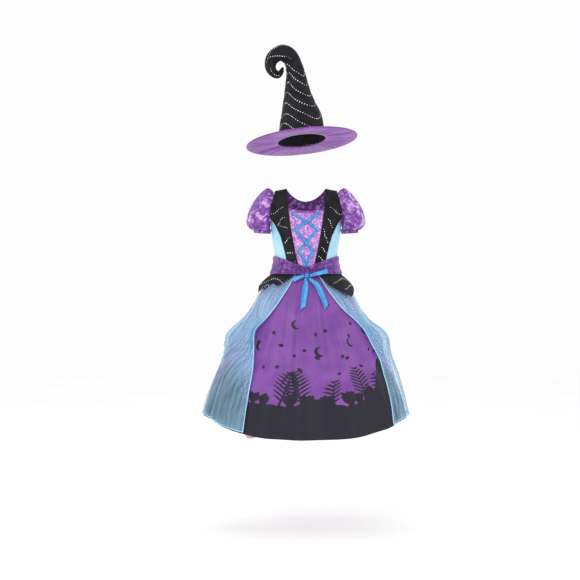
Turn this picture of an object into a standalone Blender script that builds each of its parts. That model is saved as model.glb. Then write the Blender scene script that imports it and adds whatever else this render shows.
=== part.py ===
"""A child's witch costume: a dress and its pointed hat, in the shape they have when worn.

Metres, +Z up. The origin lies midway between the shoulder seams, which carry the
dress. The front faces -Y and +X is the viewer's right.

Every cloth piece is a grid of points, rows running down and columns running across
towards +X at the front, so that its faces look outwards. A Solidify modifier gives
the grid its wall.
"""

import math
from collections import namedtuple

import bpy
import numpy as np
from mathutils import Matrix

# Cloth and clearances
CLOTH = 0.0012
THIN_CLOTH = 0.0010
LAPEL_CLOTH = 0.0015
RIBBON = 0.0010
BRIM_BOARD = 0.0030
SEAM_GAP = 0.0004
LAYER_GAP = 0.0006
LAPEL_STANDOFF = 0.0011

# Limits of the working: step that a normal is taken over, sine of the widest angle on
# the body, and least cosine that a ribbon's corner is mitred by
NORMAL_STEP = 1e-4
SINE_LIMIT = 0.999
MITRE_LIMIT = 0.5

# Body that the bodice fits
CHEST_HEIGHT = -0.100
SHOULDER_RISE = 0.100
SHOULDER_TAPER = 0.002
SHOULDER_SLOPE = 0.18
NECK_HALF_WIDTH = 0.063
TORSO_SQUARENESS = 2.4
BODICE_BOTTOM = -0.2592
BACK_NECK_LEVEL = 0.45
NECKLINE_HEIGHT = -0.063
NECKLINE_DIP = 0.009
BINDING_WIDTH = 0.007
BINDING_ROWS = 3
BINDING_COLUMNS = 13
SHOULDER_ROWS = 9
SHOULDER_ROW_SPREAD = 0.9
BODICE_ROW_HEIGHTS = (-0.117, -0.150, -0.185, -0.222)
CENTRE_FRONT_ROWS = 11
CENTRE_FRONT_COLUMNS = 9
SIDE_FRONT_COLUMNS = 6
BACK_NECK_COLUMNS = 5
BACK_SHOULDER_COLUMNS = 4

TorsoRow = namedtuple("TorsoRow", "height half_width half_depth")
TORSO = (
    TorsoRow(-0.290, 0.1110, 0.0870),
    TorsoRow(-0.262, 0.1036, 0.0820),
    TorsoRow(-0.225, 0.0980, 0.0785),
    TorsoRow(-0.180, 0.1020, 0.0805),
    TorsoRow(-0.140, 0.1080, 0.0840),
    TorsoRow(-0.100, 0.1120, 0.0860),
)

# The armhole edge on the front, from the shoulder seam to the underarm.
# A drop is -1 at the shoulder seam, 0 at the chest and metres below that.
ArmholeRow = namedtuple("ArmholeRow", "drop degrees")
ARMHOLE = (
    ArmholeRow(-1.000, 66.0),
    ArmholeRow(-0.600, 61.0),
    ArmholeRow(-0.250, 63.0),
    ArmholeRow(0.000, 73.0),
    ArmholeRow(0.017, 90.0),
)

# The lapel's two edges on the front
LapelRow = namedtuple("LapelRow", "height inner outer")
LAPEL = (
    LapelRow(-0.246, 0.0240, 0.0560),
    LapelRow(-0.200, 0.0340, 0.0660),
    LapelRow(-0.153, 0.0430, 0.0780),
    LapelRow(-0.117, 0.0490, 0.0940),
    LapelRow(-0.088, 0.0525, 0.1130),
    LapelRow(-0.060, 0.0570, 0.1100),
    LapelRow(0.000, 0.0630, 0.0990),
)
LAPEL_ON_BODY = 0.097
PRINCESS_SEAM = 0.25
COLLAR_OUTER_LEVEL = 0.16
COLLAR_ROWS = 9
LAPEL_COLUMNS = 5

# Puff sleeve on the +X side: each ring's outer and inner end, its half depth and gathers
SleeveRow = namedtuple("SleeveRow", "outer_x outer_z inner_x inner_z half_depth gather")
SLEEVE = (
    SleeveRow(0.1230, 0.0030, 0.1175, -0.1150, 0.045, 0.0008),
    SleeveRow(0.1430, -0.0120, 0.1160, -0.1210, 0.049, 0.0018),
    SleeveRow(0.1630, -0.0360, 0.1145, -0.1250, 0.051, 0.0022),
    SleeveRow(0.1790, -0.0640, 0.1135, -0.1270, 0.051, 0.0022),
    SleeveRow(0.1870, -0.0920, 0.1135, -0.1285, 0.049, 0.0022),
    SleeveRow(0.1870, -0.1090, 0.1135, -0.1295, 0.045, 0.0020),
    SleeveRow(0.1790, -0.1210, 0.1140, -0.1305, 0.038, 0.0016),
    SleeveRow(0.1650, -0.1280, 0.1150, -0.1312, 0.028, 0.0006),
)
SLEEVE_HEAD_CLEARANCE = 0.0020
SLEEVE_GATHERS = 6
GATHER_REACH = 0.04
SLEEVE_COLUMNS = 24
CUFF_HEIGHT = 0.0070
CUFF_COLUMNS = 20

# Lacing, the path of the ribbon that lies underneath
LacingPoint = namedtuple("LacingPoint", "x height")
LACING = (
    LacingPoint(-0.0440, -0.0790),
    LacingPoint(0.0000, -0.1055),
    LacingPoint(0.0350, -0.1290),
    LacingPoint(0.0000, -0.1715),
    LacingPoint(-0.0230, -0.1985),
    LacingPoint(0.0000, -0.2340),
    LacingPoint(0.0090, -0.2480),
)
LACING_WIDTH = 0.0090
LACING_STEPS = 4

# Sash
SASH_TOP_SIDE = -0.2110
SASH_TOP_FRONT = -0.2490
SASH_BOTTOM = -0.2720
SASH_TOP_OUT = 0.0052
SASH_BOTTOM_OUT = 0.0094
SASH_PLEATS = 3
SASH_PLEAT_DEPTH = 0.0016
SASH_TOP_CURVE = 0.83
SASH_ROWS = 8
SASH_COLUMNS = 16

# Skirt: half sizes of its oval and depth of its folds, at heights of the centre front
WAIST_SEAM = -0.2604
HEM_HEIGHT = -0.7780
SkirtRow = namedtuple("SkirtRow", "height half_width half_depth fold_depth")
SKIRT = (
    SkirtRow(-0.2604, 0.1035, 0.0820, 0.0000),
    SkirtRow(-0.2760, 0.1085, 0.0865, 0.0008),
    SkirtRow(-0.2950, 0.1230, 0.0990, 0.0020),
    SkirtRow(-0.3300, 0.1430, 0.1190, 0.0030),
    SkirtRow(-0.3800, 0.1590, 0.1380, 0.0040),
    SkirtRow(-0.4300, 0.1730, 0.1520, 0.0050),
    SkirtRow(-0.4800, 0.1930, 0.1650, 0.0060),
    SkirtRow(-0.5400, 0.2230, 0.1790, 0.0075),
    SkirtRow(-0.6000, 0.2510, 0.1910, 0.0090),
    SkirtRow(-0.6600, 0.2770, 0.2010, 0.0105),
    SkirtRow(-0.7200, 0.2990, 0.2090, 0.0120),
    SkirtRow(-0.7780, 0.3140, 0.2150, 0.0135),
)
SKIRT_FOLDS = 13
SKIRT_COLUMNS = 34

# Uneven folds: slow waves that sway their spacing round the skirt, and one that
# changes their height
FoldSway = namedtuple("FoldSway", "amount waves phase")
FOLD_SWAYS = (
    FoldSway(0.9, 2, 0.5),
    FoldSway(0.6, 5, 1.3),
)
FOLD_HEIGHT_CHANGE = 0.25
FOLD_HEIGHT_WAVES = 3
FOLD_HEIGHT_PHASE = 0.8

# The hem's lift at both sides, and the places where the cloth is held out
SKIRT_LIFT_LEFT = 0.062
SKIRT_LIFT_RIGHT = 0.058
LIFT_SHARPNESS = 3
LIFT_STARTS = 0.12
LIFT_SPAN = 0.38
HELD_FALL = 0.515
HELD_SPREAD = 0.07
HELD_WIDTH_DEGREES = 22.0
HELD_PULL = 0.020

# Overskirt: where its front edges run, in degrees from centre front
OverskirtEdge = namedtuple("OverskirtEdge", "fall left_degrees right_degrees")
OVERSKIRT_EDGES = (
    OverskirtEdge(0.00, 17.0, 19.0),
    OverskirtEdge(0.13, 26.0, 29.0),
    OverskirtEdge(0.22, 35.0, 41.0),
    OverskirtEdge(0.32, 45.0, 54.0),
    OverskirtEdge(0.42, 51.5, 62.5),
    OverskirtEdge(0.52, 45.5, 63.0),
    OverskirtEdge(0.62, 41.0, 65.0),
    OverskirtEdge(0.75, 39.0, 62.0),
    OverskirtEdge(1.00, 37.5, 56.0),
)
OVERSKIRT_START = 0.008
OVERSKIRT_END = 0.990
OVERSKIRT_COLUMNS = 23
OVERSKIRT_FOLDS = 7
OVERSKIRT_FOLD_DEPTH = 0.008
OVERSKIRT_FOLD_CROWDING = 0.85
OVERSKIRT_FOLD_GROWTH = 1.6
OVERSKIRT_STANDOFF = 0.006
OVERSKIRT_STANDOFF_GROWTH = 2.5
PUFF_OUT = 0.014
PUFF_DEGREES = 96.0
PUFF_WIDTH_DEGREES = 24.0
PUFF_FALL = 0.66
PUFF_SPREAD = 0.20

# Underskirt
UnderskirtRow = namedtuple("UnderskirtRow", "height half_width half_depth fold_depth")
UNDERSKIRT = (
    UnderskirtRow(-0.2640, 0.1038, 0.0824, 0.0000),
    UnderskirtRow(-0.3000, 0.1100, 0.0880, 0.0010),
    UnderskirtRow(-0.4000, 0.1420, 0.1180, 0.0030),
    UnderskirtRow(-0.5200, 0.1700, 0.1400, 0.0045),
    UnderskirtRow(-0.6500, 0.1920, 0.1560, 0.0060),
    UnderskirtRow(-0.7740, 0.2060, 0.1660, 0.0070),
)
UNDERSKIRT_FOLDS = 9
UNDERSKIRT_COLUMNS = 20

# Peplum flaps: how far the lower edge hangs below the waist
PeplumPoint = namedtuple("PeplumPoint", "degrees drop")
PEPLUM_LEFT = (
    PeplumPoint(19.0, 0.010),
    PeplumPoint(29.0, 0.028),
    PeplumPoint(39.0, 0.046),
    PeplumPoint(50.0, 0.034),
    PeplumPoint(59.0, 0.044),
    PeplumPoint(69.0, 0.068),
    PeplumPoint(80.0, 0.050),
    PeplumPoint(95.0, 0.038),
    PeplumPoint(115.0, 0.056),
    PeplumPoint(135.0, 0.034),
    PeplumPoint(155.0, 0.014),
)
PEPLUM_RIGHT = (
    PeplumPoint(21.0, 0.012),
    PeplumPoint(29.0, 0.044),
    PeplumPoint(42.0, 0.060),
    PeplumPoint(56.0, 0.082),
    PeplumPoint(68.0, 0.068),
    PeplumPoint(80.0, 0.052),
    PeplumPoint(95.0, 0.044),
    PeplumPoint(115.0, 0.060),
    PeplumPoint(135.0, 0.036),
    PeplumPoint(155.0, 0.014),
)
PEPLUM_TOP = -0.2680
PEPLUM_TOP_OUT = 0.0038
PEPLUM_FLARE = 0.016
PEPLUM_FLARE_DROP = 0.08
PEPLUM_FLARE_CURVE = 0.8
PEPLUM_ROWS = 6

# Bow at the waist
KNOT_X = 0.0020
KNOT_Y = -0.0992
KNOT_Z = -0.2750
KNOT_HALF_WIDTH = 0.0070
KNOT_HALF_HEIGHT = 0.0075
KNOT_HALF_DEPTH = 0.0050
KNOT_ROUNDING = 0.0025
KNOT_SEGMENTS = 3
LOOP_CLEARANCE = 0.0004
LOOP_PINCH = 0.62
LOOP_OPENING_AT_KNOT = 0.45
LOOP_OPEN_SHARE = 0.002
LoopRow = namedtuple("LoopRow", "side length width half_gap tilt_degrees drift")
LOOPS = (
    LoopRow(1.0, 0.058, 0.0150, 0.0045, 15.0, 0.10),
    LoopRow(-1.0, 0.036, 0.0140, 0.0040, -20.0, -0.10),
)
LOOP_STEPS = 14
TailPoint = namedtuple("TailPoint", "x height")
TAIL_LEFT = (
    TailPoint(-0.0015, -0.2884),
    TailPoint(-0.0030, -0.3150),
    TailPoint(-0.0070, -0.3450),
    TailPoint(-0.0110, -0.3790),
)
TAIL_RIGHT = (
    TailPoint(0.0070, -0.2886),
    TailPoint(0.0310, -0.3080),
    TailPoint(0.0480, -0.3420),
    TailPoint(0.0600, -0.3750),
)
TAIL_WIDTH = 0.0140
TAIL_SLANT = 0.009
TAIL_TOP_OUT = 0.0080
TAIL_END_OUT = 0.0045
TAIL_TOP_WIDTH = 0.0065
TAIL_STEPS = 9

# Hat: its centre line in the vertical plane of the curl, from the middle of the brim
HAT_CENTRE = (-0.0138, 0.0000, 0.1606)
HAT_LEAN_BACK_DEGREES = 7.5
HAT_ROLL_DEGREES = 6.2
BRIM_RADIUS = 0.1770
BRIM_DROOP = 0.004
BRIM_RINGS = 4
BRIM_COLUMNS = 40
HatRow = namedtuple("HatRow", "x z half_width half_depth")
HAT = (
    HatRow(0.0000, 0.0000, 0.0780, 0.0860),
    HatRow(0.0000, 0.0380, 0.0725, 0.0770),
    HatRow(-0.0020, 0.0730, 0.0664, 0.0680),
    HatRow(-0.0075, 0.1080, 0.0556, 0.0560),
    HatRow(-0.0115, 0.1430, 0.0460, 0.0460),
    HatRow(-0.0150, 0.1800, 0.0378, 0.0370),
    HatRow(-0.0195, 0.2200, 0.0300, 0.0290),
    HatRow(-0.0250, 0.2440, 0.0272, 0.0260),
    HatRow(-0.0330, 0.2680, 0.0262, 0.0240),
    HatRow(-0.0450, 0.2810, 0.0275, 0.0230),
    HatRow(-0.0600, 0.2860, 0.0282, 0.0220),
    HatRow(-0.0790, 0.2810, 0.0237, 0.0200),
    HatRow(-0.0960, 0.2630, 0.0215, 0.0180),
    HatRow(-0.0995, 0.2400, 0.0175, 0.0150),
    HatRow(-0.0905, 0.2220, 0.0144, 0.0125),
    HatRow(-0.0770, 0.2150, 0.0126, 0.0105),
    HatRow(-0.0650, 0.2250, 0.0080, 0.0072),
    HatRow(-0.0610, 0.2370, 0.0042, 0.0042),
)
HAT_ROWS = 30
HAT_LOWER_ROWS = 0.30
HAT_LOWER_LENGTH = 0.55
HAT_ROLL_FADE = 0.06
HAT_COLUMNS = 16
HAT_TIP_LENGTH = 0.003

# Finishes: sRGB colour, roughness and metallic value
Finish = namedtuple("Finish", "colour roughness metallic")
FINISHES = {
    "velvet_lilac": Finish("B07CC4", 0.55, 0.0),
    "velvet_purple": Finish("8A4FA8", 0.55, 0.0),
    "satin_light_blue": Finish("BFE4F5", 0.45, 0.0),
    "dotted_black": Finish("2A2A2C", 0.80, 0.0),
    "ribbon_blue": Finish("4FA8DD", 0.30, 0.0),
    "satin_purple": Finish("8A55A5", 0.40, 0.0),
    "organza_blue": Finish("8CCBEA", 0.35, 0.0),
    "lining_pink": Finish("D9A0CC", 0.60, 0.0),
    "brim_purple": Finish("9A59B5", 0.40, 0.0),
}


def linear_colour(code):
    """Turn an sRGB hex code into linear red, green, blue and alpha."""
    channels = [int(code[start:start + 2], 16) / 255 for start in (0, 2, 4)]
    low = [value / 12.92 for value in channels]
    high = [((value + 0.055) / 1.055) ** 2.4 for value in channels]
    linear = [b if value > 0.04045 else a for value, a, b in zip(channels, low, high)]
    return (*linear, 1.0)


def material(finish_name):
    """Return the Principled material of a finish, made once and shared by its pieces."""
    found = bpy.data.materials.get(finish_name)
    if found:
        return found
    finish = FINISHES[finish_name]
    made = bpy.data.materials.new(finish_name)
    made.use_nodes = True
    shader = made.node_tree.nodes["Principled BSDF"]
    shader.inputs["Base Color"].default_value = linear_colour(finish.colour)
    shader.inputs["Roughness"].default_value = finish.roughness
    shader.inputs["Metallic"].default_value = finish.metallic
    return made


def column(table, name):
    """Return one named column of a table as an array."""
    return np.array([getattr(row, name) for row in table])


def smooth(at, knots, values):
    """Cubic curve through the knots, whose slopes come from each knot's neighbours."""
    slopes = np.gradient(values, knots)
    at = np.clip(at, knots[0], knots[-1])
    left = np.clip(np.searchsorted(knots, at) - 1, 0, len(knots) - 2)
    width = knots[left + 1] - knots[left]
    t = (at - knots[left]) / width
    start = (1 + 2 * t) * (1 - t) ** 2 * values[left] + t * (1 - t) ** 2 * width * slopes[left]
    end = t * t * (3 - 2 * t) * values[left + 1] - t * t * (1 - t) * width * slopes[left + 1]
    return start + end


def powered(value, exponent):
    """Raise the size of a value to a power and keep its sign."""
    return np.sign(value) * np.abs(value) ** exponent


def bump(value, centre, spread):
    """Bell curve that is 1 at its centre."""
    return np.exp(-((value - centre) / spread) ** 2)


def stack(x, y, z):
    """Join coordinate arrays into points."""
    x, y, z = np.broadcast_arrays(x, y, z)
    return np.stack([x, y, z], axis=-1)


def torso(angle, drop):
    """Point on the body: angle from centre front, drop from the shoulder seam down."""
    arch = np.clip(-drop, 0, 1) * math.pi / 2
    height = CHEST_HEIGHT - np.maximum(drop, 0)
    wide = smooth(height, column(TORSO, "height"), column(TORSO, "half_width"))
    deep = smooth(height, column(TORSO, "height"), column(TORSO, "half_depth"))
    wide = wide - SHOULDER_TAPER * np.sin(arch)
    power = 2 / TORSO_SQUARENESS
    x = wide * powered(np.sin(angle), power)
    y = -deep * np.cos(arch) * powered(np.cos(angle), power)
    slope = SHOULDER_SLOPE * np.maximum(np.abs(x) - NECK_HALF_WIDTH, 0) * np.sin(arch)
    return stack(x, y, height + SHOULDER_RISE * np.sin(arch) - slope)


def lift_shape(angle):
    """Height that the hem is lifted by at an angle: all of it at the side, 0 in front."""
    side = np.where(np.sin(angle) < 0, SKIRT_LIFT_LEFT, SKIRT_LIFT_RIGHT)
    return side * np.abs(np.sin(angle)) ** LIFT_SHARPNESS


def fold_wave(angle, count):
    """Uneven folds round a skirt, from 0 in a trough to 1 on a ridge."""
    phase = count * angle
    for sway in FOLD_SWAYS:
        phase = phase + sway.amount * np.sin(sway.waves * angle + sway.phase)
    change = np.sin(FOLD_HEIGHT_WAVES * angle + FOLD_HEIGHT_PHASE)
    height = 1 - FOLD_HEIGHT_CHANGE + FOLD_HEIGHT_CHANGE * change
    return height * (0.5 + 0.5 * np.cos(phase))


def skirt_falls():
    """Falls of the skirt's rows, from 0 at the waist seam to 1 at the hem."""
    return (WAIST_SEAM - column(SKIRT, "height")) / (WAIST_SEAM - HEM_HEIGHT)


def skirt(angle, fall):
    """Point on the skirt's inner face: angle from centre front, fall from waist to hem."""
    falls = skirt_falls()
    wide = smooth(fall, falls, column(SKIRT, "half_width"))
    deep = smooth(fall, falls, column(SKIRT, "half_depth"))
    fold = smooth(fall, falls, column(SKIRT, "fold_depth")) * fold_wave(angle, SKIRT_FOLDS)
    side = math.radians(HELD_WIDTH_DEGREES)
    near_side = bump(np.abs(np.sin(angle)), 1.0, 1 - math.cos(side))
    pull = HELD_PULL * near_side * bump(fall, HELD_FALL, HELD_SPREAD)
    x = (wide + fold + pull) * np.sin(angle)
    y = -(deep + fold) * np.cos(angle)
    rise = np.clip((fall - LIFT_STARTS) / LIFT_SPAN, 0, 1)
    lifted = lift_shape(angle) * rise * rise * (3 - 2 * rise)
    return stack(x, y, WAIST_SEAM - fall * (WAIST_SEAM - HEM_HEIGHT) + lifted)


def underskirt(angle, fall):
    """Point on the underskirt's inner face, from the waist to its level hem."""
    heights = column(UNDERSKIRT, "height")
    falls = (heights[0] - heights) / (heights[0] - heights[-1])
    wide = smooth(fall, falls, column(UNDERSKIRT, "half_width"))
    deep = smooth(fall, falls, column(UNDERSKIRT, "half_depth"))
    depth = smooth(fall, falls, column(UNDERSKIRT, "fold_depth"))
    fold = -depth * fold_wave(angle, UNDERSKIRT_FOLDS)
    height = heights[0] - fall * (heights[0] - heights[-1])
    return stack((wide + fold) * np.sin(angle), -(deep + fold) * np.cos(angle), height)


def moved_out(surface, across, down, out):
    """Points of a surface moved out along its normal."""
    across, down, out = np.broadcast_arrays(across, down, out)
    sideways = surface(across + NORMAL_STEP, down) - surface(across - NORMAL_STEP, down)
    downwards = surface(across, down + NORMAL_STEP) - surface(across, down - NORMAL_STEP)
    normal = np.cross(downwards, sideways)
    normal = normal / np.linalg.norm(normal, axis=-1, keepdims=True)
    return surface(across, down) + out[..., None] * normal


def torso_angle(x, height):
    """Angle of the body point that has a given x at a given height."""
    capped = np.minimum(height, CHEST_HEIGHT)
    wide = smooth(capped, column(TORSO, "height"), column(TORSO, "half_width"))
    sine = np.clip(x / wide, -SINE_LIMIT, SINE_LIMIT)
    return np.arcsin(powered(sine, TORSO_SQUARENESS / 2))


def torso_drop(height):
    """Drop of the body point at a given height, before the shoulder's slope."""
    level = np.arcsin(np.clip((height - CHEST_HEIGHT) / SHOULDER_RISE, 0, 1)) / (math.pi / 2)
    return np.where(height > CHEST_HEIGHT, -level, CHEST_HEIGHT - height)


def torso_height(drop):
    """Height of the body point at a given drop, before the shoulder's slope."""
    arch = np.clip(-drop, 0, 1) * math.pi / 2
    return CHEST_HEIGHT - np.maximum(drop, 0) + SHOULDER_RISE * np.sin(arch)


def mirrored(grid):
    """The same piece on the other side, with its faces still looking out."""
    return grid[:, ::-1] * np.array([-1.0, 1.0, 1.0])


def add_piece(name, grid, finish_name, wall, offset=1.0, ring=False, tip=None):
    """Make a named cloth piece from a grid of points and give it its wall."""
    rows, columns = grid.shape[:2]
    points = [tuple(point) for point in grid.reshape(-1, 3)]
    faces = []
    for row in range(rows - 1):
        for place in range(columns if ring else columns - 1):
            after = (place + 1) % columns
            here = row * columns
            below = here + columns
            faces.append((here + place, below + place, below + after, here + after))
    if tip is not None:
        points.append(tuple(tip))
        for place in range(columns):
            faces.append((len(points) - 1, place, (place + 1) % columns))
    mesh = bpy.data.meshes.new(name)
    mesh.from_pydata(points, [], faces)
    mesh.shade_smooth()
    mesh.materials.append(material(finish_name))
    piece = bpy.data.objects.new(name, mesh)
    PIECES.objects.link(piece)
    solidify = piece.modifiers.new("wall", "SOLIDIFY")
    solidify.thickness = wall
    solidify.offset = offset
    solidify.use_quality_normals = True
    return piece


def body_rows():
    """Drops of the bodice rows that the fronts and the lapels share."""
    over = -np.linspace(1.0, 0.0, SHOULDER_ROWS) ** SHOULDER_ROW_SPREAD
    down = torso_drop(np.array([*BODICE_ROW_HEIGHTS, BODICE_BOTTOM]))
    return np.concatenate([over, down])


def armhole_angle(drop):
    """Angle of the armhole edge at a drop, and of the side seam below the underarm."""
    return np.radians(np.interp(drop, column(ARMHOLE, "drop"), column(ARMHOLE, "degrees")))


def lapel_edges(drop):
    """The lapel's inner and outer distance from centre front at a drop."""
    height = torso_height(drop)
    heights = column(LAPEL, "height")
    inner = np.interp(height, heights, column(LAPEL, "inner"))
    outer = np.interp(height, heights, column(LAPEL, "outer"))
    return inner, outer


def princess_x(drop):
    """Distance of the seam between centre front and side front from centre front."""
    inner, outer = lapel_edges(drop)
    return inner + PRINCESS_SEAM * (outer - inner)


def build_bodice_fronts():
    """Velvet centre front and the two light-blue side fronts beside it."""
    across = np.linspace(-1, 1, CENTRE_FRONT_COLUMNS)
    neck = NECKLINE_HEIGHT - NECKLINE_DIP * (1 - across ** 2)
    down = np.linspace(0, 1, CENTRE_FRONT_ROWS)[:, None]
    drop = torso_drop(neck + (BODICE_BOTTOM - neck) * down)
    reach = princess_x(drop) - SEAM_GAP / 2
    grid = moved_out(torso, torso_angle(across * reach, torso_height(drop)), drop, 0.0)
    add_piece("bodice_centre_front", grid, "velvet_lilac", CLOTH)

    drop = body_rows()[:, None]
    start = torso_angle(princess_x(drop) + SEAM_GAP / 2, torso_height(drop))
    end = armhole_angle(drop) - side_margin(drop)
    share = np.linspace(0, 1, SIDE_FRONT_COLUMNS)
    grid = moved_out(torso, start + (end - start) * share, drop, 0.0)
    grid[0, :, 1] -= SEAM_GAP / 2
    add_piece("bodice_side_right", grid, "satin_light_blue", CLOTH)
    add_piece("bodice_side_left", mirrored(grid), "satin_light_blue", CLOTH)


def seam_margin(reach):
    """Angle on the body that keeps half of the seam gap clear, at a reach from its middle."""
    return (SEAM_GAP / 2 / reach) ** (TORSO_SQUARENESS / 2)


def side_margin(drop):
    """Angle that keeps half of the seam gap clear at the side seam."""
    return np.where(drop >= ARMHOLE[-1].drop, seam_margin(TORSO[0].half_depth), 0.0)


def build_bodice_backs():
    """Plain velvet backs that meet at a centre back seam."""
    ridge = math.radians(ARMHOLE[0].degrees)
    neck_angle = float(torso_angle(NECK_HALF_WIDTH, 0.0))
    before_neck = np.linspace(0, neck_angle / ridge, BACK_NECK_COLUMNS)
    after_neck = np.linspace(neck_angle / ridge, 1, BACK_SHOULDER_COLUMNS)[1:]
    share = np.concatenate([before_neck, after_neck])
    along_neck = np.clip(share * ridge / neck_angle, 0, 1)
    top = -1 + (1 - BACK_NECK_LEVEL) * np.sqrt(1 - along_neck ** 2)
    shape = (body_rows()[:, None] + 1) / (body_rows()[-1] + 1)
    drop = top + (body_rows()[-1] - top) * shape
    seam = seam_margin(TORSO[0].half_width)
    outer = armhole_angle(drop) - side_margin(drop)
    angle = math.pi - (seam + (outer - seam) * share)
    grid = moved_out(torso, angle, drop, 0.0)
    grid[0, share * ridge >= neck_angle, 1] += SEAM_GAP / 2
    grid = grid[:, ::-1]
    add_piece("bodice_back_right", grid, "velvet_purple", CLOTH)
    add_piece("bodice_back_left", mirrored(grid), "velvet_purple", CLOTH)


def build_neck_binding():
    """Narrow band along the top edge of the centre front, between the lapels."""
    across = np.linspace(-1, 1, BINDING_COLUMNS)
    top = NECKLINE_HEIGHT - NECKLINE_DIP * (1 - across ** 2)
    height = top - BINDING_WIDTH * np.linspace(0, 1, BINDING_ROWS)[:, None]
    drop = torso_drop(height)
    inner = lapel_edges(drop)[0] - 2 * SEAM_GAP
    angle = torso_angle(across * inner, height)
    grid = moved_out(torso, angle, drop, CLOTH + LAYER_GAP)
    add_piece("neck_binding", grid, "velvet_purple", RIBBON)


def build_lapels():
    """Lapels from the waist over the shoulders, with a plain collar to centre back."""
    out = CLOTH + LAPEL_STANDOFF
    share = np.linspace(0, 1, LAPEL_COLUMNS)
    lowest = torso_drop(LAPEL[0].height)
    drop = body_rows()
    drop = np.append(drop[drop < lowest], lowest)[:, None]
    inner, outer = lapel_edges(drop)
    x = inner + (outer - inner) * share
    on_body = np.minimum(x, LAPEL_ON_BODY)
    front = moved_out(torso, torso_angle(on_body, torso_height(drop)), drop, out)
    front[..., 0] += x - on_body
    turn = np.linspace(0, math.pi / 2, COLLAR_ROWS)[:-1][::-1]
    turn = np.concatenate([[math.pi / 2], turn])[:, None]
    inner, outer = lapel_edges(np.array(-1.0))
    sideways = (inner + (outer - inner) * share) * np.cos(turn)
    sideways = np.maximum(sideways, SEAM_GAP)
    level = BACK_NECK_LEVEL + (COLLAR_OUTER_LEVEL - BACK_NECK_LEVEL) * share
    drop = -1 + (1 - level) * np.sin(turn)
    angle = math.pi - torso_angle(sideways, torso_height(drop))
    back = moved_out(torso, angle, drop, out)
    grid = np.concatenate([back[:-1], front])
    add_piece("lapel_right", grid, "dotted_black", LAPEL_CLOTH)
    add_piece("lapel_left", mirrored(grid), "dotted_black", LAPEL_CLOTH)


def armhole_ring(count):
    """Points round the armhole, from the shoulder down the front and up the back."""
    turn = np.arange(count) / count * 2 * math.pi
    share = 1 - np.abs(1 - turn / math.pi)
    knots = np.linspace(0, 1, len(ARMHOLE))
    drop = np.interp(share, knots, column(ARMHOLE, "drop"))
    angle = armhole_angle(drop)
    ring = moved_out(torso, angle, drop, 0.0)
    ring[:, 1] *= np.where(turn > math.pi, -1, 1)
    return ring


def build_sleeves():
    """Puff sleeves gathered into the armhole and into a narrow cuff."""
    turn = np.arange(SLEEVE_COLUMNS) / SLEEVE_COLUMNS * 2 * math.pi
    head = armhole_ring(SLEEVE_COLUMNS)
    head[:, 0] += CLOTH + SLEEVE_HEAD_CLEARANCE
    head[:, 2] += CLOTH * np.cos(turn)
    rings = [head]
    for row in SLEEVE:
        rings.append(sleeve_ring(row, turn, row.gather))
    grid = np.array(rings)[:, ::-1]
    add_piece("sleeve_right", grid, "velvet_purple", CLOTH, ring=True)
    add_piece("sleeve_left", mirrored(grid), "velvet_purple", CLOTH, ring=True)

    turn = np.arange(CUFF_COLUMNS) / CUFF_COLUMNS * 2 * math.pi
    upper = sleeve_ring(SLEEVE[-1], turn, 0.0)
    upper[:, 2] -= SEAM_GAP + CLOTH
    lower = upper - np.array([0.0, 0.0, CUFF_HEIGHT])
    grid = np.array([upper, (upper + lower) / 2, lower])[:, ::-1]
    add_piece("cuff_right", grid, "velvet_purple", LAPEL_CLOTH, ring=True)
    add_piece("cuff_left", mirrored(grid), "velvet_purple", LAPEL_CLOTH, ring=True)


def sleeve_ring(row, turn, gather):
    """One ring of a sleeve: an ellipse between its outer and inner end, with gathers."""
    centre = np.array([(row.outer_x + row.inner_x) / 2, 0.0, (row.outer_z + row.inner_z) / 2])
    reach = np.array([row.outer_x, 0.0, row.outer_z]) - centre
    grown = 1 + gather / GATHER_REACH * np.cos(SLEEVE_GATHERS * turn)
    depth = np.array([0.0, -row.half_depth, 0.0])
    along = (grown * np.cos(turn))[:, None]
    across = (grown * np.sin(turn))[:, None]
    return centre + along * reach + across * depth


def ribbon_grid(path, width, place, slant=0.0):
    """Strip of three columns along a path of x and height, mitred where it turns."""
    path = np.array(path, dtype=float)
    before = np.diff(path, axis=0)
    before = before / np.linalg.norm(before, axis=1, keepdims=True)
    incoming = np.vstack([before[:1], before])
    outgoing = np.vstack([before, before[-1:]])
    tangent = incoming + outgoing
    tangent = tangent / np.linalg.norm(tangent, axis=1, keepdims=True)
    stretch = 1 / np.maximum(np.sum(tangent * outgoing, axis=1), MITRE_LIMIT)
    side = np.stack([-tangent[:, 1], tangent[:, 0]], axis=1) * (width / 2 * stretch)[:, None]
    share = np.array([-1.0, 0.0, 1.0])
    points = path[:, None] + side[:, None] * share[None, :, None]
    points[-1, :, 1] -= slant * share
    return place(points[..., 0], points[..., 1])


def build_lacing():
    """Two ribbons that zigzag down the centre front, one over the other."""
    corners = np.array([(point.x, point.height) for point in LACING])
    knots = np.arange(len(corners))
    at = np.linspace(0, len(corners) - 1, (len(corners) - 1) * LACING_STEPS + 1)
    path = np.stack([np.interp(at, knots, corners[:, i]) for i in range(2)], axis=1)
    first = CLOTH + LAYER_GAP

    def on_front(x, height, out):
        return moved_out(torso, torso_angle(x, height), torso_drop(height), out)

    under = ribbon_grid(path, LACING_WIDTH, lambda x, z: on_front(x, z, first))
    over = ribbon_grid(path, LACING_WIDTH, lambda x, z: on_front(x, z, first + RIBBON + LAYER_GAP))
    add_piece("lacing_under", under, "ribbon_blue", RIBBON)
    add_piece("lacing_over", mirrored(over), "ribbon_blue", RIBBON)


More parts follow.
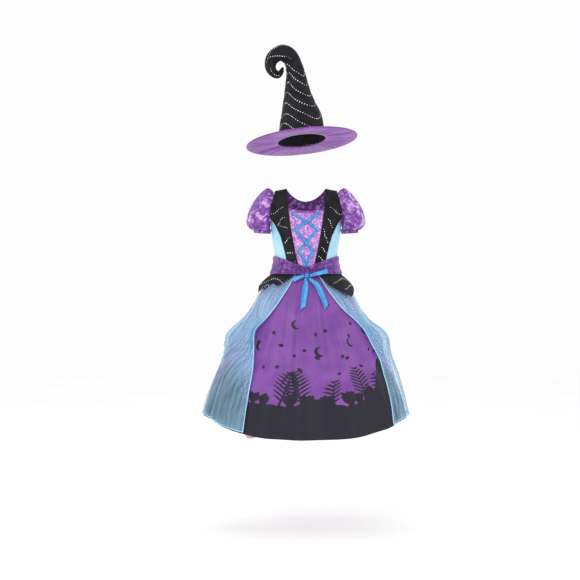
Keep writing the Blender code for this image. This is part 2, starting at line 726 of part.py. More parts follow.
def build_sash():
    """Gathered velvet sash in a front and a back half, with a V at the top in front."""
    share = np.linspace(0, 1, SASH_ROWS)[:, None]
    for name, centre in (("sash_front", 0.0), ("sash_back", math.pi)):
        margin = seam_margin(TORSO[0].half_depth)
        angle = centre + np.linspace(-math.pi / 2 + margin, math.pi / 2 - margin, SASH_COLUMNS)
        rise = np.abs(np.sin(angle)) ** SASH_TOP_CURVE if centre == 0.0 else np.ones(SASH_COLUMNS)
        top = SASH_TOP_FRONT + (SASH_TOP_SIDE - SASH_TOP_FRONT) * rise
        height = top + (SASH_BOTTOM - top) * share
        pleat = 0.5 - 0.5 * np.cos(2 * math.pi * SASH_PLEATS * share)
        base = SASH_TOP_OUT + (SASH_BOTTOM_OUT - SASH_TOP_OUT) * share ** 2
        out = base + SASH_PLEAT_DEPTH * pleat
        grid = moved_out(torso, angle, torso_drop(height), out)
        add_piece(name, grid, "velvet_purple", CLOTH)


def tube_half(surface, centre, count, down, deepest):
    """Half of a skirt, from side seam to side seam, with the seam gap at both."""
    margin = SEAM_GAP / 2 / deepest
    share = np.linspace(-1, 1, count)
    angle = centre + share * (math.pi / 2 - margin)
    return moved_out(surface, angle, down, 0.0)


def build_skirt():
    """Bell skirt in a front and a back half, with soft folds that deepen to the hem."""
    down = skirt_falls()[:, None]
    deep = column(SKIRT, "half_depth")[:, None]
    for name, centre in (("skirt_front", 0.0), ("skirt_back", math.pi)):
        grid = tube_half(skirt, centre, SKIRT_COLUMNS, down, deep)
        add_piece(name, grid, "satin_purple", CLOTH)


def build_underskirt():
    """Straight underskirt that shows below the lifted side of the skirt."""
    heights = column(UNDERSKIRT, "height")
    down = ((heights[0] - heights) / (heights[0] - heights[-1]))[:, None]
    deep = column(UNDERSKIRT, "half_depth")[:, None]
    for name, centre in (("underskirt_front", 0.0), ("underskirt_back", math.pi)):
        grid = tube_half(underskirt, centre, UNDERSKIRT_COLUMNS, down, deep)
        add_piece(name, grid, "lining_pink", THIN_CLOTH, offset=-1.0)


def overskirt_grid(side, degrees_name):
    """Organza panel from its front edge round to centre back, outside the skirt."""
    down = np.clip(skirt_falls(), OVERSKIRT_START, OVERSKIRT_END)[:, None]
    edge = smooth(down, column(OVERSKIRT_EDGES, "fall"), column(OVERSKIRT_EDGES, degrees_name))
    start = np.radians(edge)
    end = math.pi - SEAM_GAP / SKIRT[0].half_width
    share = np.linspace(0, 1, OVERSKIRT_COLUMNS)
    angle = start + (end - start) * share
    turns = OVERSKIRT_FOLDS * share ** OVERSKIRT_FOLD_CROWDING
    wave = 0.5 + 0.5 * np.sin(2 * math.pi * turns)
    clear = np.clip(down * OVERSKIRT_STANDOFF_GROWTH, 0, 1)
    out = CLOTH + LAYER_GAP + OVERSKIRT_STANDOFF * clear
    out = out + OVERSKIRT_FOLD_DEPTH * wave * np.clip(down * OVERSKIRT_FOLD_GROWTH, 0, 1)
    if side > 0:
        puff = bump(np.degrees(angle), PUFF_DEGREES, PUFF_WIDTH_DEGREES)
        out = out + PUFF_OUT * puff * bump(down, PUFF_FALL, PUFF_SPREAD)
    grid = moved_out(skirt, side * angle, down, out)
    return grid if side > 0 else grid[:, ::-1]


def build_overskirt():
    """Two sheer panels, open in front and meeting at centre back."""
    left = overskirt_grid(-1.0, "left_degrees")
    right = overskirt_grid(1.0, "right_degrees")
    add_piece("overskirt_left", left, "organza_blue", THIN_CLOTH)
    add_piece("overskirt_right", right, "organza_blue", THIN_CLOTH)


def peplum_grid(table, side):
    """Pointed flap that hangs from the waist and stands off the overskirt."""
    degrees = column(table, "degrees")
    middle = (degrees[1:] + degrees[:-1]) / 2
    degrees = np.sort(np.concatenate([degrees, middle]))
    drop = np.interp(degrees, column(table, "degrees"), column(table, "drop"))
    share = np.linspace(0, 1, PEPLUM_ROWS)[:, None]
    length = WAIST_SEAM - HEM_HEIGHT
    down = (WAIST_SEAM - PEPLUM_TOP + drop * share) / length
    flare = (drop * share / PEPLUM_FLARE_DROP) ** PEPLUM_FLARE_CURVE
    out = PEPLUM_TOP_OUT + PEPLUM_FLARE * flare
    grid = moved_out(skirt, side * np.radians(degrees), down, out)
    return grid if side > 0 else grid[:, ::-1]


def build_peplum():
    """Black flaps with pointed lower edges at both hips."""
    add_piece("peplum_left", peplum_grid(PEPLUM_LEFT, -1.0), "dotted_black", LAPEL_CLOTH)
    add_piece("peplum_right", peplum_grid(PEPLUM_RIGHT, 1.0), "dotted_black", LAPEL_CLOTH)


def build_bow():
    """Ribbon bow at the waist: a knot, two loops and two hanging tails."""
    bpy.ops.mesh.primitive_cube_add(size=2)
    knot = bpy.context.object
    knot.name = "bow_knot"
    knot.data.name = "bow_knot"
    size = (KNOT_HALF_WIDTH, KNOT_HALF_DEPTH, KNOT_HALF_HEIGHT)
    knot.data.transform(Matrix.Translation((KNOT_X, KNOT_Y, KNOT_Z)) @ Matrix.Diagonal((*size, 1)))
    knot.data.materials.append(material("ribbon_blue"))
    for owner in list(knot.users_collection):
        owner.objects.unlink(knot)
    PIECES.objects.link(knot)
    bevel = knot.modifiers.new("rounded", "BEVEL")
    bevel.width = KNOT_ROUNDING
    bevel.segments = KNOT_SEGMENTS
    for row, name in zip(LOOPS, ("bow_loop_right", "bow_loop_left")):
        add_piece(name, loop_grid(row), "ribbon_blue", RIBBON, offset=0.0)
    for table, name in ((TAIL_LEFT, "bow_tail_left"), (TAIL_RIGHT, "bow_tail_right")):
        add_piece(name, tail_grid(table), "ribbon_blue", RIBBON)


def loop_grid(row):
    """Bow loop: a ribbon that runs out from the knot, turns and comes back in front."""
    turn = np.linspace(LOOP_OPEN_SHARE, 1 - LOOP_OPEN_SHARE, LOOP_STEPS) * math.pi
    tilt = math.radians(row.tilt_degrees)
    reach = np.array([row.side * math.cos(tilt), row.drift, math.sin(tilt)])
    rise = np.array([-row.side * math.sin(tilt), 0.0, math.cos(tilt)])
    clear = KNOT_HALF_WIDTH + LOOP_CLEARANCE + LOOP_PINCH * row.width / 2 * abs(math.sin(tilt))
    start = np.array([KNOT_X + row.side * clear, KNOT_Y, KNOT_Z])
    along = np.sin(turn)[:, None, None] * row.length * reach
    swell = LOOP_OPENING_AT_KNOT + (1 - LOOP_OPENING_AT_KNOT) * np.sin(turn)
    opening = row.half_gap * swell
    depth = (np.cos(turn) * opening)[:, None, None] * np.array([0.0, 1.0, 0.0])
    wide = row.width * (LOOP_PINCH + (1 - LOOP_PINCH) * np.sin(turn))
    share = np.array([0.5, 0.0, -0.5])
    breadth = (wide[:, None] * share)[..., None] * rise
    return start + along + depth + breadth


def tail_grid(table):
    """Bow tail that lies on the skirt front, with a slanted end."""
    knots = np.arange(len(table), dtype=float)
    at = np.linspace(0, knots[-1], TAIL_STEPS)
    path = [smooth(at, knots, column(table, name)) for name in ("x", "height")]
    length = WAIST_SEAM - HEM_HEIGHT

    def on_skirt(x, height):
        fall = (WAIST_SEAM - height) / length
        wide = smooth(fall, skirt_falls(), column(SKIRT, "half_width"))
        out = TAIL_TOP_OUT + (TAIL_END_OUT - TAIL_TOP_OUT) * (at / knots[-1])[:, None]
        return moved_out(skirt, np.arcsin(x / wide), fall, out)

    width = np.full(TAIL_STEPS, TAIL_WIDTH)
    width[0] = TAIL_TOP_WIDTH
    width[1] = (TAIL_TOP_WIDTH + TAIL_WIDTH) / 2
    return ribbon_grid(np.stack(path, axis=1), width, on_skirt, slant=-TAIL_SLANT)


def hat_points(points):
    """Place points of the hat's own frame where the hat sits, leaning back."""
    lean = Matrix.Rotation(-math.radians(HAT_LEAN_BACK_DEGREES), 3, "X")
    return points @ np.array(lean).T + np.array(HAT_CENTRE)


def build_hat():
    """Hollow cone with a curled tip, standing on a round brim."""
    centres = np.stack([column(HAT, "x"), column(HAT, "z")], axis=1)
    chord = np.concatenate([[0], np.cumsum(np.linalg.norm(np.diff(centres, axis=0), axis=1))])
    spread = np.linspace(0, 1, HAT_ROWS)
    at = np.interp(spread, [0, HAT_LOWER_ROWS, 1], [0, HAT_LOWER_LENGTH, 1]) * chord[-1]
    x = smooth(at, chord, centres[:, 0])
    z = smooth(at, chord, centres[:, 1])
    wide = smooth(at, chord, column(HAT, "half_width"))
    deep = smooth(at, chord, column(HAT, "half_depth"))
    heading = np.unwrap(np.arctan2(np.gradient(x, at), np.gradient(z, at)))
    roll = -math.radians(HAT_ROLL_DEGREES)
    heading = heading + (roll - heading[0]) * np.clip(1 - at / HAT_ROLL_FADE, 0, 1)
    turn = np.arange(HAT_COLUMNS) / HAT_COLUMNS * 2 * math.pi
    sideways = np.stack([np.cos(heading), 0 * heading, -np.sin(heading)], axis=1)
    spine = stack(x, 0 * x, z)
    rings = spine[:, None] + (wide[:, None] * np.sin(turn))[..., None] * sideways[:, None]
    rings[..., 1] -= deep[:, None] * np.cos(turn)
    forward = np.array([math.sin(heading[-1]), 0.0, math.cos(heading[-1])])
    tip = hat_points(spine[-1] + forward * HAT_TIP_LENGTH)
    grid = hat_points(rings[::-1])
    add_piece("hat_cone", grid, "dotted_black", CLOTH, offset=-1.0, ring=True, tip=tip)

    turn = np.arange(BRIM_COLUMNS) / BRIM_COLUMNS * 2 * math.pi
    share = np.linspace(0, 1, BRIM_RINGS)[:, None]
    hole_width = HAT[0].half_width - CLOTH
    hole_depth = HAT[0].half_depth - CLOTH
    across = hole_width + (BRIM_RADIUS - hole_width) * share
    deep = hole_depth + (BRIM_RADIUS - hole_depth) * share
    height = -SEAM_GAP - BRIM_DROOP * share ** 2
    flat = stack(across * np.sin(turn), -deep * np.cos(turn), height + 0 * turn)
    tilt = Matrix.Rotation(roll, 3, "Y")
    grid = hat_points(flat @ np.array(tilt).T)
    add_piece("hat_brim", grid, "brim_purple", BRIM_BOARD, offset=-1.0, ring=True)


def main():
    """Build every piece of the costume."""
    build_bodice_fronts()
    build_bodice_backs()
    build_neck_binding()
    build_lapels()
    build_lacing()
    build_sleeves()
    build_sash()
    build_skirt()
    build_underskirt()
    build_overskirt()
    build_peplum()
    build_bow()
    build_hat()


for leftover in list(bpy.data.objects):
    bpy.data.objects.remove(leftover)
PIECES = bpy.data.collections.new("witch_costume")
bpy.context.scene.collection.children.link(PIECES)
main()
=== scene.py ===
"""A witch costume in its worn shape: a dress with an organza overskirt and a pointed hat.

Metres, +Z up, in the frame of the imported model: the origin lies midway between the
shoulder seams, the front faces -Y and +X is the viewer's right. Each sewn piece is a
thin shell worked out on a grid of points, rows running down and columns running across
towards +X at the front, so that its faces look outwards.
"""

import logging
import math
from collections.abc import Callable, Sequence
from dataclasses import dataclass, field
from enum import Enum

import bpy
import numpy as np
from mathutils import Matrix, Vector


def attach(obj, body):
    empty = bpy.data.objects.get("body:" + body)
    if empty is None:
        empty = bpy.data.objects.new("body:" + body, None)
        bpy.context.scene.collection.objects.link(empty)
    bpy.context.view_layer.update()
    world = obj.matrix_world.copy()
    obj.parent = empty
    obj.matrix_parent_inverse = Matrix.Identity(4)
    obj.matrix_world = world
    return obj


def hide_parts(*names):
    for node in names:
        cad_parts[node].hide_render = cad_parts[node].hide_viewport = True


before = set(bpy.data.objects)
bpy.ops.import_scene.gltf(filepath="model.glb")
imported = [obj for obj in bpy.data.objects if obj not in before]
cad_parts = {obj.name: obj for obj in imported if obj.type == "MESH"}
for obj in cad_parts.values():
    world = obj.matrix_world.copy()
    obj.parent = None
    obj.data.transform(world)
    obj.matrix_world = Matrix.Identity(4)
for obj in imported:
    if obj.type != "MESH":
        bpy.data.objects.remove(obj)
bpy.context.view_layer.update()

LOG = logging.getLogger("witch_costume")
BODY = "root"

# Cloth and clearances, as the solids have them
CLOTH = 0.0012
LAYER_GAP = 0.0006
SEAM_GAP = 0.0004
LAPEL_STANDOFF = 0.0011
RIBBON = 0.0010
SHELL = 0.0009

# Steps in a surface's parameters that normals are taken over, for cloth and for dots
NORMAL_STEP = 1e-4
DOT_NORMAL_STEP = 1e-3
# Limits: sine of the widest angle on the body, least cosine that a corner is mitred by
SINE_LIMIT = 0.999
MITRE_LIMIT = 0.5
# Sides of the round sections of dots and rolled edges
ROUND_SIDES = 8
# A dot's dome, as shares of its radius: sunk depth, reach and height of the shoulder, top
DOT_SUNK = 0.15
DOT_SHOULDER = (0.85, 0.28)
DOT_HEIGHT = 0.45
# Radius at the ends of a rolled edge, as a share of its own
EDGE_TAPER = 0.15

Array = np.ndarray
Surface = Callable[[Array, Array], Array]


class Held(Enum):
    """How a cut of cloth is held."""

    DRAPED = "draped"
    HUNG = "hung"
    GATHERED = "gathered"
    FOLDED = "folded"
    STRETCHED = "stretched"


def smooth(at: Array, knots: Sequence[float], values: Sequence[float]) -> Array:
    """Cubic curve through knots, each slope taken from the knot's neighbours.

    Args:
        at: Places to work the curve out at.
        knots: Rising places of the known values.
        values: The known values.

    Returns:
        The curve's value at each place, held level beyond both ends.
    """
    knots = np.asarray(knots, dtype=float)
    values = np.asarray(values, dtype=float)
    slopes = np.gradient(values, knots)
    at = np.clip(at, knots[0], knots[-1])
    left = np.clip(np.searchsorted(knots, at) - 1, 0, len(knots) - 2)
    width = knots[left + 1] - knots[left]
    t = (at - knots[left]) / width
    start = (1 + 2 * t) * (1 - t) ** 2 * values[left] + t * (1 - t) ** 2 * width * slopes[left]
    end = t * t * (3 - 2 * t) * values[left + 1] - t * t * (1 - t) * width * slopes[left + 1]
    return start + end


def powered(value: Array, exponent: float) -> Array:
    """Raise the size of a value to a power and keep its sign."""
    return np.sign(value) * np.abs(value) ** exponent


def bump(value: Array, centre: float, spread: float) -> Array:
    """Bell curve that is 1 at its centre: e to the minus square of distance over spread."""
    return np.exp(-(((value - centre) / spread) ** 2))


def ease(value: Array) -> Array:
    """Smooth step from 0 to 1: three times the square less twice the cube."""
    value = np.clip(value, 0, 1)
    return value * value * (3 - 2 * value)


def stack(x: Array, y: Array, z: Array) -> Array:
    """Join coordinate arrays into points."""
    return np.stack(np.broadcast_arrays(x, y, z), axis=-1)


def rumple(a: Array, b: Array, seed: int, terms: int = 7) -> Array:
    """Uneven wave in two parameters, a sum of sines of seeded slants and phases.

    Args:
        a: First parameter, counted in waves.
        b: Second parameter, counted in waves.
        seed: Seed of the slants and phases.
        terms: Number of sines.

    Returns:
        Values from about -1 to 1.
    """
    draw = np.random.default_rng(seed)
    total = 0.0
    for size, turn, phase in zip(
        draw.uniform(0.5, 1.6, terms), draw.uniform(0, 2 * math.pi, terms), draw.uniform(0, 7, terms)
    ):
        along = size * (a * math.cos(turn) + b * math.sin(turn))
        total = total + np.sin(2 * math.pi * along + phase)
    return total / math.sqrt(terms) / 1.4


def moved_out(surface: Surface, across: Array, down: Array, out: Array) -> Array:
    """Move the points of a surface out along its normal.

    Args:
        surface: Gives the point at two parameters.
        across: First parameter, rising towards the viewer's right at the front.
        down: Second parameter, rising downwards.
        out: Distance out in metres.

    Returns:
        The moved points.
    """
    across, down, out = np.broadcast_arrays(across, down, out)
    sideways = surface(across + NORMAL_STEP, down) - surface(across - NORMAL_STEP, down)
    downwards = surface(across, down + NORMAL_STEP) - surface(across, down - NORMAL_STEP)
    normal = np.cross(downwards, sideways)
    normal = normal / np.linalg.norm(normal, axis=-1, keepdims=True)
    return surface(across, down) + out[..., None] * normal


def mirrored(grid: Array) -> Array:
    """The same grid on the other side, with its faces still looking out."""
    return grid[:, ::-1] * np.array([-1.0, 1.0, 1.0])


def smooth_rows(rings: Array, at: Array) -> Array:
    """Rows between whole rows of points, on a cubic curve from row to row."""
    slopes = np.gradient(rings, axis=0)
    left = np.clip(np.floor(at).astype(int), 0, len(rings) - 2)
    t = (at - left)[:, None, None]
    start = (1 + 2 * t) * (1 - t) ** 2 * rings[left] + t * (1 - t) ** 2 * slopes[left]
    return start + t * t * (3 - 2 * t) * rings[left + 1] - t * t * (1 - t) * slopes[left + 1]


def push(grid: Array, out: Array, ring: bool = False) -> Array:
    """Move a grid's points out along its own normals, down crossed with across."""
    wide = np.concatenate([grid[:, -1:], grid, grid[:, :1]], axis=1) if ring else grid
    across = np.gradient(wide, axis=1)
    across = across[:, 1:-1] if ring else across
    normal = np.cross(np.gradient(grid, axis=0), across)
    normal /= np.maximum(np.linalg.norm(normal, axis=-1, keepdims=True), 1e-12)
    return grid + np.broadcast_to(out, grid.shape[:2])[..., None] * normal


def cloth_lengths(grid: Array) -> tuple[Array, Array]:
    """Distances in metres along a grid's columns and rows, for a pattern that follows it.

    Args:
        grid: Points of rows and columns.

    Returns:
        Distance across from the middle column and distance down from the first row.
    """
    across = np.linalg.norm(np.diff(grid, axis=1), axis=-1)
    across = np.concatenate([np.zeros((len(grid), 1)), np.cumsum(across, axis=1)], axis=1)
    down = np.linalg.norm(np.diff(grid, axis=0), axis=-1)
    down = np.concatenate([np.zeros((1, grid.shape[1])), np.cumsum(down, axis=0)])
    return across - across[:, grid.shape[1] // 2][:, None], down


@dataclass(frozen=True)
class Body:
    """The form that the bodice fits: rounded square sections over the shoulders."""

    chest: float = -0.100
    rise: float = 0.100
    taper: float = 0.002
    slope: float = 0.18
    neck: float = 0.063
    squareness: float = 2.4
    heights: tuple = (-0.290, -0.262, -0.225, -0.180, -0.140, -0.100)
    half_widths: tuple = (0.1110, 0.1036, 0.0980, 0.1020, 0.1080, 0.1120)
    half_depths: tuple = (0.0870, 0.0820, 0.0785, 0.0805, 0.0840, 0.0860)

    def point(self, angle: Array, drop: Array) -> Array:
        """Point at an angle from centre front; drop is -1 at the shoulder, 0 at the chest.

        The section is a superellipse, and above the chest its depth closes as a cosine.
        """
        arch = np.clip(-drop, 0, 1) * math.pi / 2
        height = self.chest - np.maximum(drop, 0)
        wide = smooth(height, self.heights, self.half_widths) - self.taper * np.sin(arch)
        deep = smooth(height, self.heights, self.half_depths)
        x = wide * powered(np.sin(angle), 2 / self.squareness)
        y = -deep * np.cos(arch) * powered(np.cos(angle), 2 / self.squareness)
        slope = self.slope * np.maximum(np.abs(x) - self.neck, 0) * np.sin(arch)
        return stack(x, y, height + self.rise * np.sin(arch) - slope)

    def angle(self, x: Array, height: Array) -> Array:
        """Angle of the front point that has a given x at a given height."""
        wide = smooth(np.minimum(height, self.chest), self.heights, self.half_widths)
        return np.arcsin(powered(np.clip(x / wide, -SINE_LIMIT, SINE_LIMIT), self.squareness / 2))

    def drop(self, height: Array) -> Array:
        """Drop of the point at a given height, before the shoulder's slope."""
        level = np.arcsin(np.clip((height - self.chest) / self.rise, 0, 1)) / (math.pi / 2)
        return np.where(height > self.chest, -level, self.chest - height)

    def height(self, drop: Array) -> Array:
        """Height of the point at a given drop, before the shoulder's slope."""
        arch = np.clip(-drop, 0, 1) * math.pi / 2
        return self.chest - np.maximum(drop, 0) + self.rise * np.sin(arch)

    def seam_angle(self, reach: float) -> float:
        """Angle that keeps half of the seam gap clear, at a reach from the middle."""
        return (SEAM_GAP / 2 / reach) ** (self.squareness / 2)


TORSO = Body()


@dataclass(frozen=True)
class Bell:
    """The skirt's form: an oval that widens to the hem, lifted and drawn out at the sides."""

    waist: float = -0.2604
    hem: float = -0.7780
    heights: tuple = (
        -0.2604, -0.2760, -0.2950, -0.3300, -0.3800, -0.4300,
        -0.4800, -0.5400, -0.6000, -0.6600, -0.7200, -0.7780,
    )
    half_widths: tuple = (
        0.1035, 0.1085, 0.1230, 0.1430, 0.1590, 0.1730, 0.1930, 0.2230, 0.2510, 0.2770, 0.2990, 0.3140,
    )
    half_depths: tuple = (
        0.0820, 0.0865, 0.0990, 0.1190, 0.1380, 0.1520, 0.1650, 0.1790, 0.1910, 0.2010, 0.2090, 0.2150,
    )
    fold_depths: tuple = (
        0.0000, 0.0008, 0.0020, 0.0030, 0.0040, 0.0050, 0.0060, 0.0075, 0.0090, 0.0105, 0.0120, 0.0135,
    )
    folds: int = 13
    lift_left: float = 0.062
    lift_right: float = 0.058
    lift_starts: float = 0.12
    lift_span: float = 0.38
    held_fall: float = 0.515
    held_spread: float = 0.07
    held_degrees: float = 22.0
    held_pull: float = 0.020

    @property
    def falls(self) -> Array:
        """Falls of the rows, from 0 at the waist seam to 1 at the hem."""
        return (self.waist - np.array(self.heights)) / (self.waist - self.hem)

    @staticmethod
    def wave(angle: Array, count: int) -> Array:
        """Uneven folds round a skirt, from 0 in a trough to 1 on a ridge."""
        phase = count * angle + 0.9 * np.sin(2 * angle + 0.5) + 0.6 * np.sin(5 * angle + 1.3)
        return (0.75 + 0.25 * np.sin(3 * angle + 0.8)) * (0.5 + 0.5 * np.cos(phase))

    def half_width(self, fall: Array) -> Array:
        """Half width of the oval at a fall."""
        return smooth(fall, self.falls, self.half_widths)

    def point(self, angle: Array, fall: Array) -> Array:
        """Point of the inner face: an oval, plus folds, plus the pull and lift at the sides."""
        fold = smooth(fall, self.falls, self.fold_depths) * self.wave(angle, self.folds)
        near = bump(np.abs(np.sin(angle)), 1.0, 1 - math.cos(math.radians(self.held_degrees)))
        pull = self.held_pull * near * bump(fall, self.held_fall, self.held_spread)
        x = (self.half_width(fall) + fold + pull) * np.sin(angle)
        y = -(smooth(fall, self.falls, self.half_depths) + fold) * np.cos(angle)
        side = np.where(np.sin(angle) < 0, self.lift_left, self.lift_right)
        lift = side * np.abs(np.sin(angle)) ** 3 * ease((fall - self.lift_starts) / self.lift_span)
        return stack(x, y, self.waist - fall * (self.waist - self.hem) + lift)

    def fall(self, height: Array) -> Array:
        """Fall of a height at centre front."""
        return (self.waist - height) / (self.waist - self.hem)


BELL = Bell()


def linear(code: str) -> tuple[float, float, float, float]:
    """Turn an sRGB hex code into linear red, green, blue and alpha."""
    channels = np.array([int(code[start:start + 2], 16) for start in (0, 2, 4)]) / 255
    curved = np.where(channels > 0.04045, ((channels + 0.055) / 1.055) ** 2.4, channels / 12.92)
    return (*(float(value) for value in curved), 1.0)


def add_node(
    tree: bpy.types.NodeTree, kind: str, settings: dict | None = None, links: dict | None = None
) -> bpy.types.Node:
    """Add a node to a material.

    Args:
        tree: The material's node tree.
        kind: Blender's name of the node type.
        settings: Values by input name, input number or attribute; "stops" are a ramp's.
        links: Output sockets by input name or number.

    Returns:
        The node.
    """
    node = tree.nodes.new(kind)
    for key, value in (settings or {}).items():
        if key == "stops":
            while len(node.color_ramp.elements) < len(value):
                node.color_ramp.elements.new(0.5)
            for element, (place, colour) in zip(node.color_ramp.elements, value):
                element.position = place
                element.color = linear(colour)
        elif isinstance(key, int) or key in node.inputs:
            node.inputs[key].default_value = value
        else:
            setattr(node, key, value)
    for key, socket in (links or {}).items():
        tree.links.new(socket, node.inputs[key])
    return node


@dataclass(frozen=True)
class Finish:
    """A cloth's look: its name, the record's slot it stands for and its shader's settings."""

    name: str
    slot: str
    sockets: dict = field(default_factory=dict)

    def start(self) -> tuple[bpy.types.Material, bpy.types.NodeTree, bpy.types.Node]:
        """New material with the sockets that are the same all over set on its shader."""
        made = bpy.data.materials.new(self.name)
        made.use_nodes = True
        tree = made.node_tree
        shader = tree.nodes["Principled BSDF"]
        for key, value in self.sockets.items():
            shader.inputs[key].default_value = linear(value) if isinstance(value, str) else value
        return made, tree, shader

    def draw(self, tree: bpy.types.NodeTree, shader: bpy.types.Node) -> None:
        """Link the patterns to the shader; each finish has its own."""

    def material(self) -> bpy.types.Material:
        """The finish's material, made once."""
        found = bpy.data.materials.get(self.name)
        if found:
            return found
        made, tree, shader = self.start()
        self.draw(tree, shader)
        return made


@dataclass(frozen=True)
class CrushedVelvet(Finish):
    """Panne velvet, its pile rolled flat in patches: the patches follow the crushed pile, and their lighter
    and darker colours are painted sheen and painted shade of the leaning pile.
    """

    dark: str = "4C2070"
    middle: str = "7D459D"
    light: str = "CDA6DE"
    patch: float = 0.024
    streak: float = 0.004

    def draw(self, tree: bpy.types.NodeTree, shader: bpy.types.Node) -> None:
        """Patches of leaning pile, broken up by finer streaks and coloured light and dark as painted sheen
        and shade, with shine and relief to match.
        """
        place = add_node(tree, "ShaderNodeTexCoord")
        patches = add_node(
            tree,
            "ShaderNodeTexNoise",
            {"Scale": 1 / self.patch, "Detail": 2.0, "Roughness": 0.5, "Distortion": 1.4},
            {"Vector": place.outputs["Object"]},
        )
        streaks = add_node(
            tree,
            "ShaderNodeTexNoise",
            {"Scale": 1 / self.streak, "Detail": 3.0, "Roughness": 0.6, "Distortion": 0.8},
            {"Vector": place.outputs["Object"]},
        )
        both = add_node(
            tree,
            "ShaderNodeMix",
            {"data_type": "FLOAT", 0: 0.30},
            {2: patches.outputs["Fac"], 3: streaks.outputs["Fac"]},
        )
        # The ramp's light stop is painted sheen and its dark stop is painted shade, laid out by the pile's
        # patches.
        stops = ((0.38, self.dark), (0.46, self.middle), (0.52, self.middle), (0.62, self.light))
        ramp = add_node(tree, "ShaderNodeValToRGB", {"stops": stops}, {"Fac": both.outputs[0]})
        tree.links.new(ramp.outputs["Color"], shader.inputs["Base Color"])
        shine = add_node(
            tree,
            "ShaderNodeMapRange",
            {"From Min": 0.35, "From Max": 0.65, "To Min": 0.66, "To Max": 0.40},
            {"Value": both.outputs[0]},
        )
        tree.links.new(shine.outputs[0], shader.inputs["Roughness"])
        relief = add_node(
            tree,
            "ShaderNodeBump",
            {"Strength": 0.55, "Distance": 0.0022},
            {"Height": both.outputs[0]},
        )
        tree.links.new(relief.outputs[0], shader.inputs["Normal"])


@dataclass(frozen=True)
class Satin(Finish):
    """Woven polyester satin: a soft gloss, with faint threads along the cloth."""

    colour: str = "8A55A5"
    shade: str = "7C4A98"
    thread: float = 0.0012
    cloud: float = 0.060

    def draw(self, tree: bpy.types.NodeTree, shader: bpy.types.Node) -> None:
        """Slubs along the length, drawn coarse enough to show, and soft clouds of colour."""
        ground = self.ground(tree)
        tree.links.new(ground.outputs[2], shader.inputs["Base Color"])
        self.threads(tree, shader)

    def ground(self, tree: bpy.types.NodeTree) -> bpy.types.Node:
        """Mix of the two close colours by a wide noise."""
        place = add_node(tree, "ShaderNodeTexCoord")
        cloud = add_node(
            tree,
            "ShaderNodeTexNoise",
            {"Scale": 1 / self.cloud, "Detail": 2.0},
            {"Vector": place.outputs["Object"]},
        )
        spread = add_node(
            tree,
            "ShaderNodeMapRange",
            {"From Min": 0.35, "From Max": 0.65},
            {"Value": cloud.outputs["Fac"]},
        )
        return add_node(
            tree,
            "ShaderNodeMix",
            {"data_type": "RGBA", 6: linear(self.shade), 7: linear(self.colour)},
            {0: spread.outputs[0]},
        )

    def threads(self, tree: bpy.types.NodeTree, shader: bpy.types.Node) -> None:
        """Noise drawn out 25 times along the cloth, as a low bump."""
        place = add_node(tree, "ShaderNodeTexCoord")
        stretch = add_node(
            tree,
            "ShaderNodeMapping",
            {"Scale": (1.0, 0.04, 1.0)},
            {"Vector": place.outputs["UV"]},
        )
        slubs = add_node(
            tree,
            "ShaderNodeTexNoise",
            {"Scale": 1 / self.thread, "Detail": 2.0},
            {"Vector": stretch.outputs[0]},
        )
        relief = add_node(
            tree,
            "ShaderNodeBump",
            {"Strength": 0.25, "Distance": 0.0004},
            {"Height": slubs.outputs["Fac"]},
        )
        tree.links.new(relief.outputs[0], shader.inputs["Normal"])


@dataclass(frozen=True)
class PrintedSatin(Satin):
    """Purple satin with a near-black screen print, whose outline comes from an attribute."""

    ink: str = "1D1B28"
    edge: float = 0.0004

    def draw(self, tree: bpy.types.NodeTree, shader: bpy.types.Node) -> None:
        """Ink where the print's distance is below zero, with a crisp edge."""
        ground = self.ground(tree)
        distance = add_node(tree, "ShaderNodeAttribute", {"attribute_name": "print_distance"})
        inside = add_node(
            tree,
            "ShaderNodeMapRange",
            {"From Min": self.edge, "From Max": -self.edge},
            {"Value": distance.outputs["Fac"]},
        )
        printed = add_node(
            tree,
            "ShaderNodeMix",
            {"data_type": "RGBA", 7: linear(self.ink)},
            {0: inside.outputs[0], 6: ground.outputs[2]},
        )
        tree.links.new(printed.outputs[2], shader.inputs["Base Color"])
        self.threads(tree, shader)


@dataclass(frozen=True)
class RibbonSatin(Satin):
    """Double-faced satin ribbon with a woven selvedge line along both edges."""

    half_width: float = 0.0045
    line: str = "2E74BE"
    line_from: float = 0.0016
    line_to: float = 0.0008
    strength: float = 0.75

    def draw(self, tree: bpy.types.NodeTree, shader: bpy.types.Node) -> None:
        """Darker lines inside the edges, by the distance across the ribbon."""
        ground = self.ground(tree)
        place = add_node(tree, "ShaderNodeTexCoord")
        parts = add_node(tree, "ShaderNodeSeparateXYZ", {}, {0: place.outputs["UV"]})
        across = add_node(tree, "ShaderNodeMath", {"operation": "ABSOLUTE"}, {0: parts.outputs[0]})
        edge = add_node(
            tree,
            "ShaderNodeMapRange",
            {
                "From Min": self.half_width - self.line_from,
                "From Max": self.half_width - self.line_to,
                "To Max": self.strength,
            },
            {"Value": across.outputs[0]},
        )
        lined = add_node(
            tree,
            "ShaderNodeMix",
            {"data_type": "RGBA", 7: linear(self.line)},
            {0: edge.outputs[0], 6: ground.outputs[2]},
        )
        tree.links.new(lined.outputs[2], shader.inputs["Base Color"])
        self.threads(tree, shader)


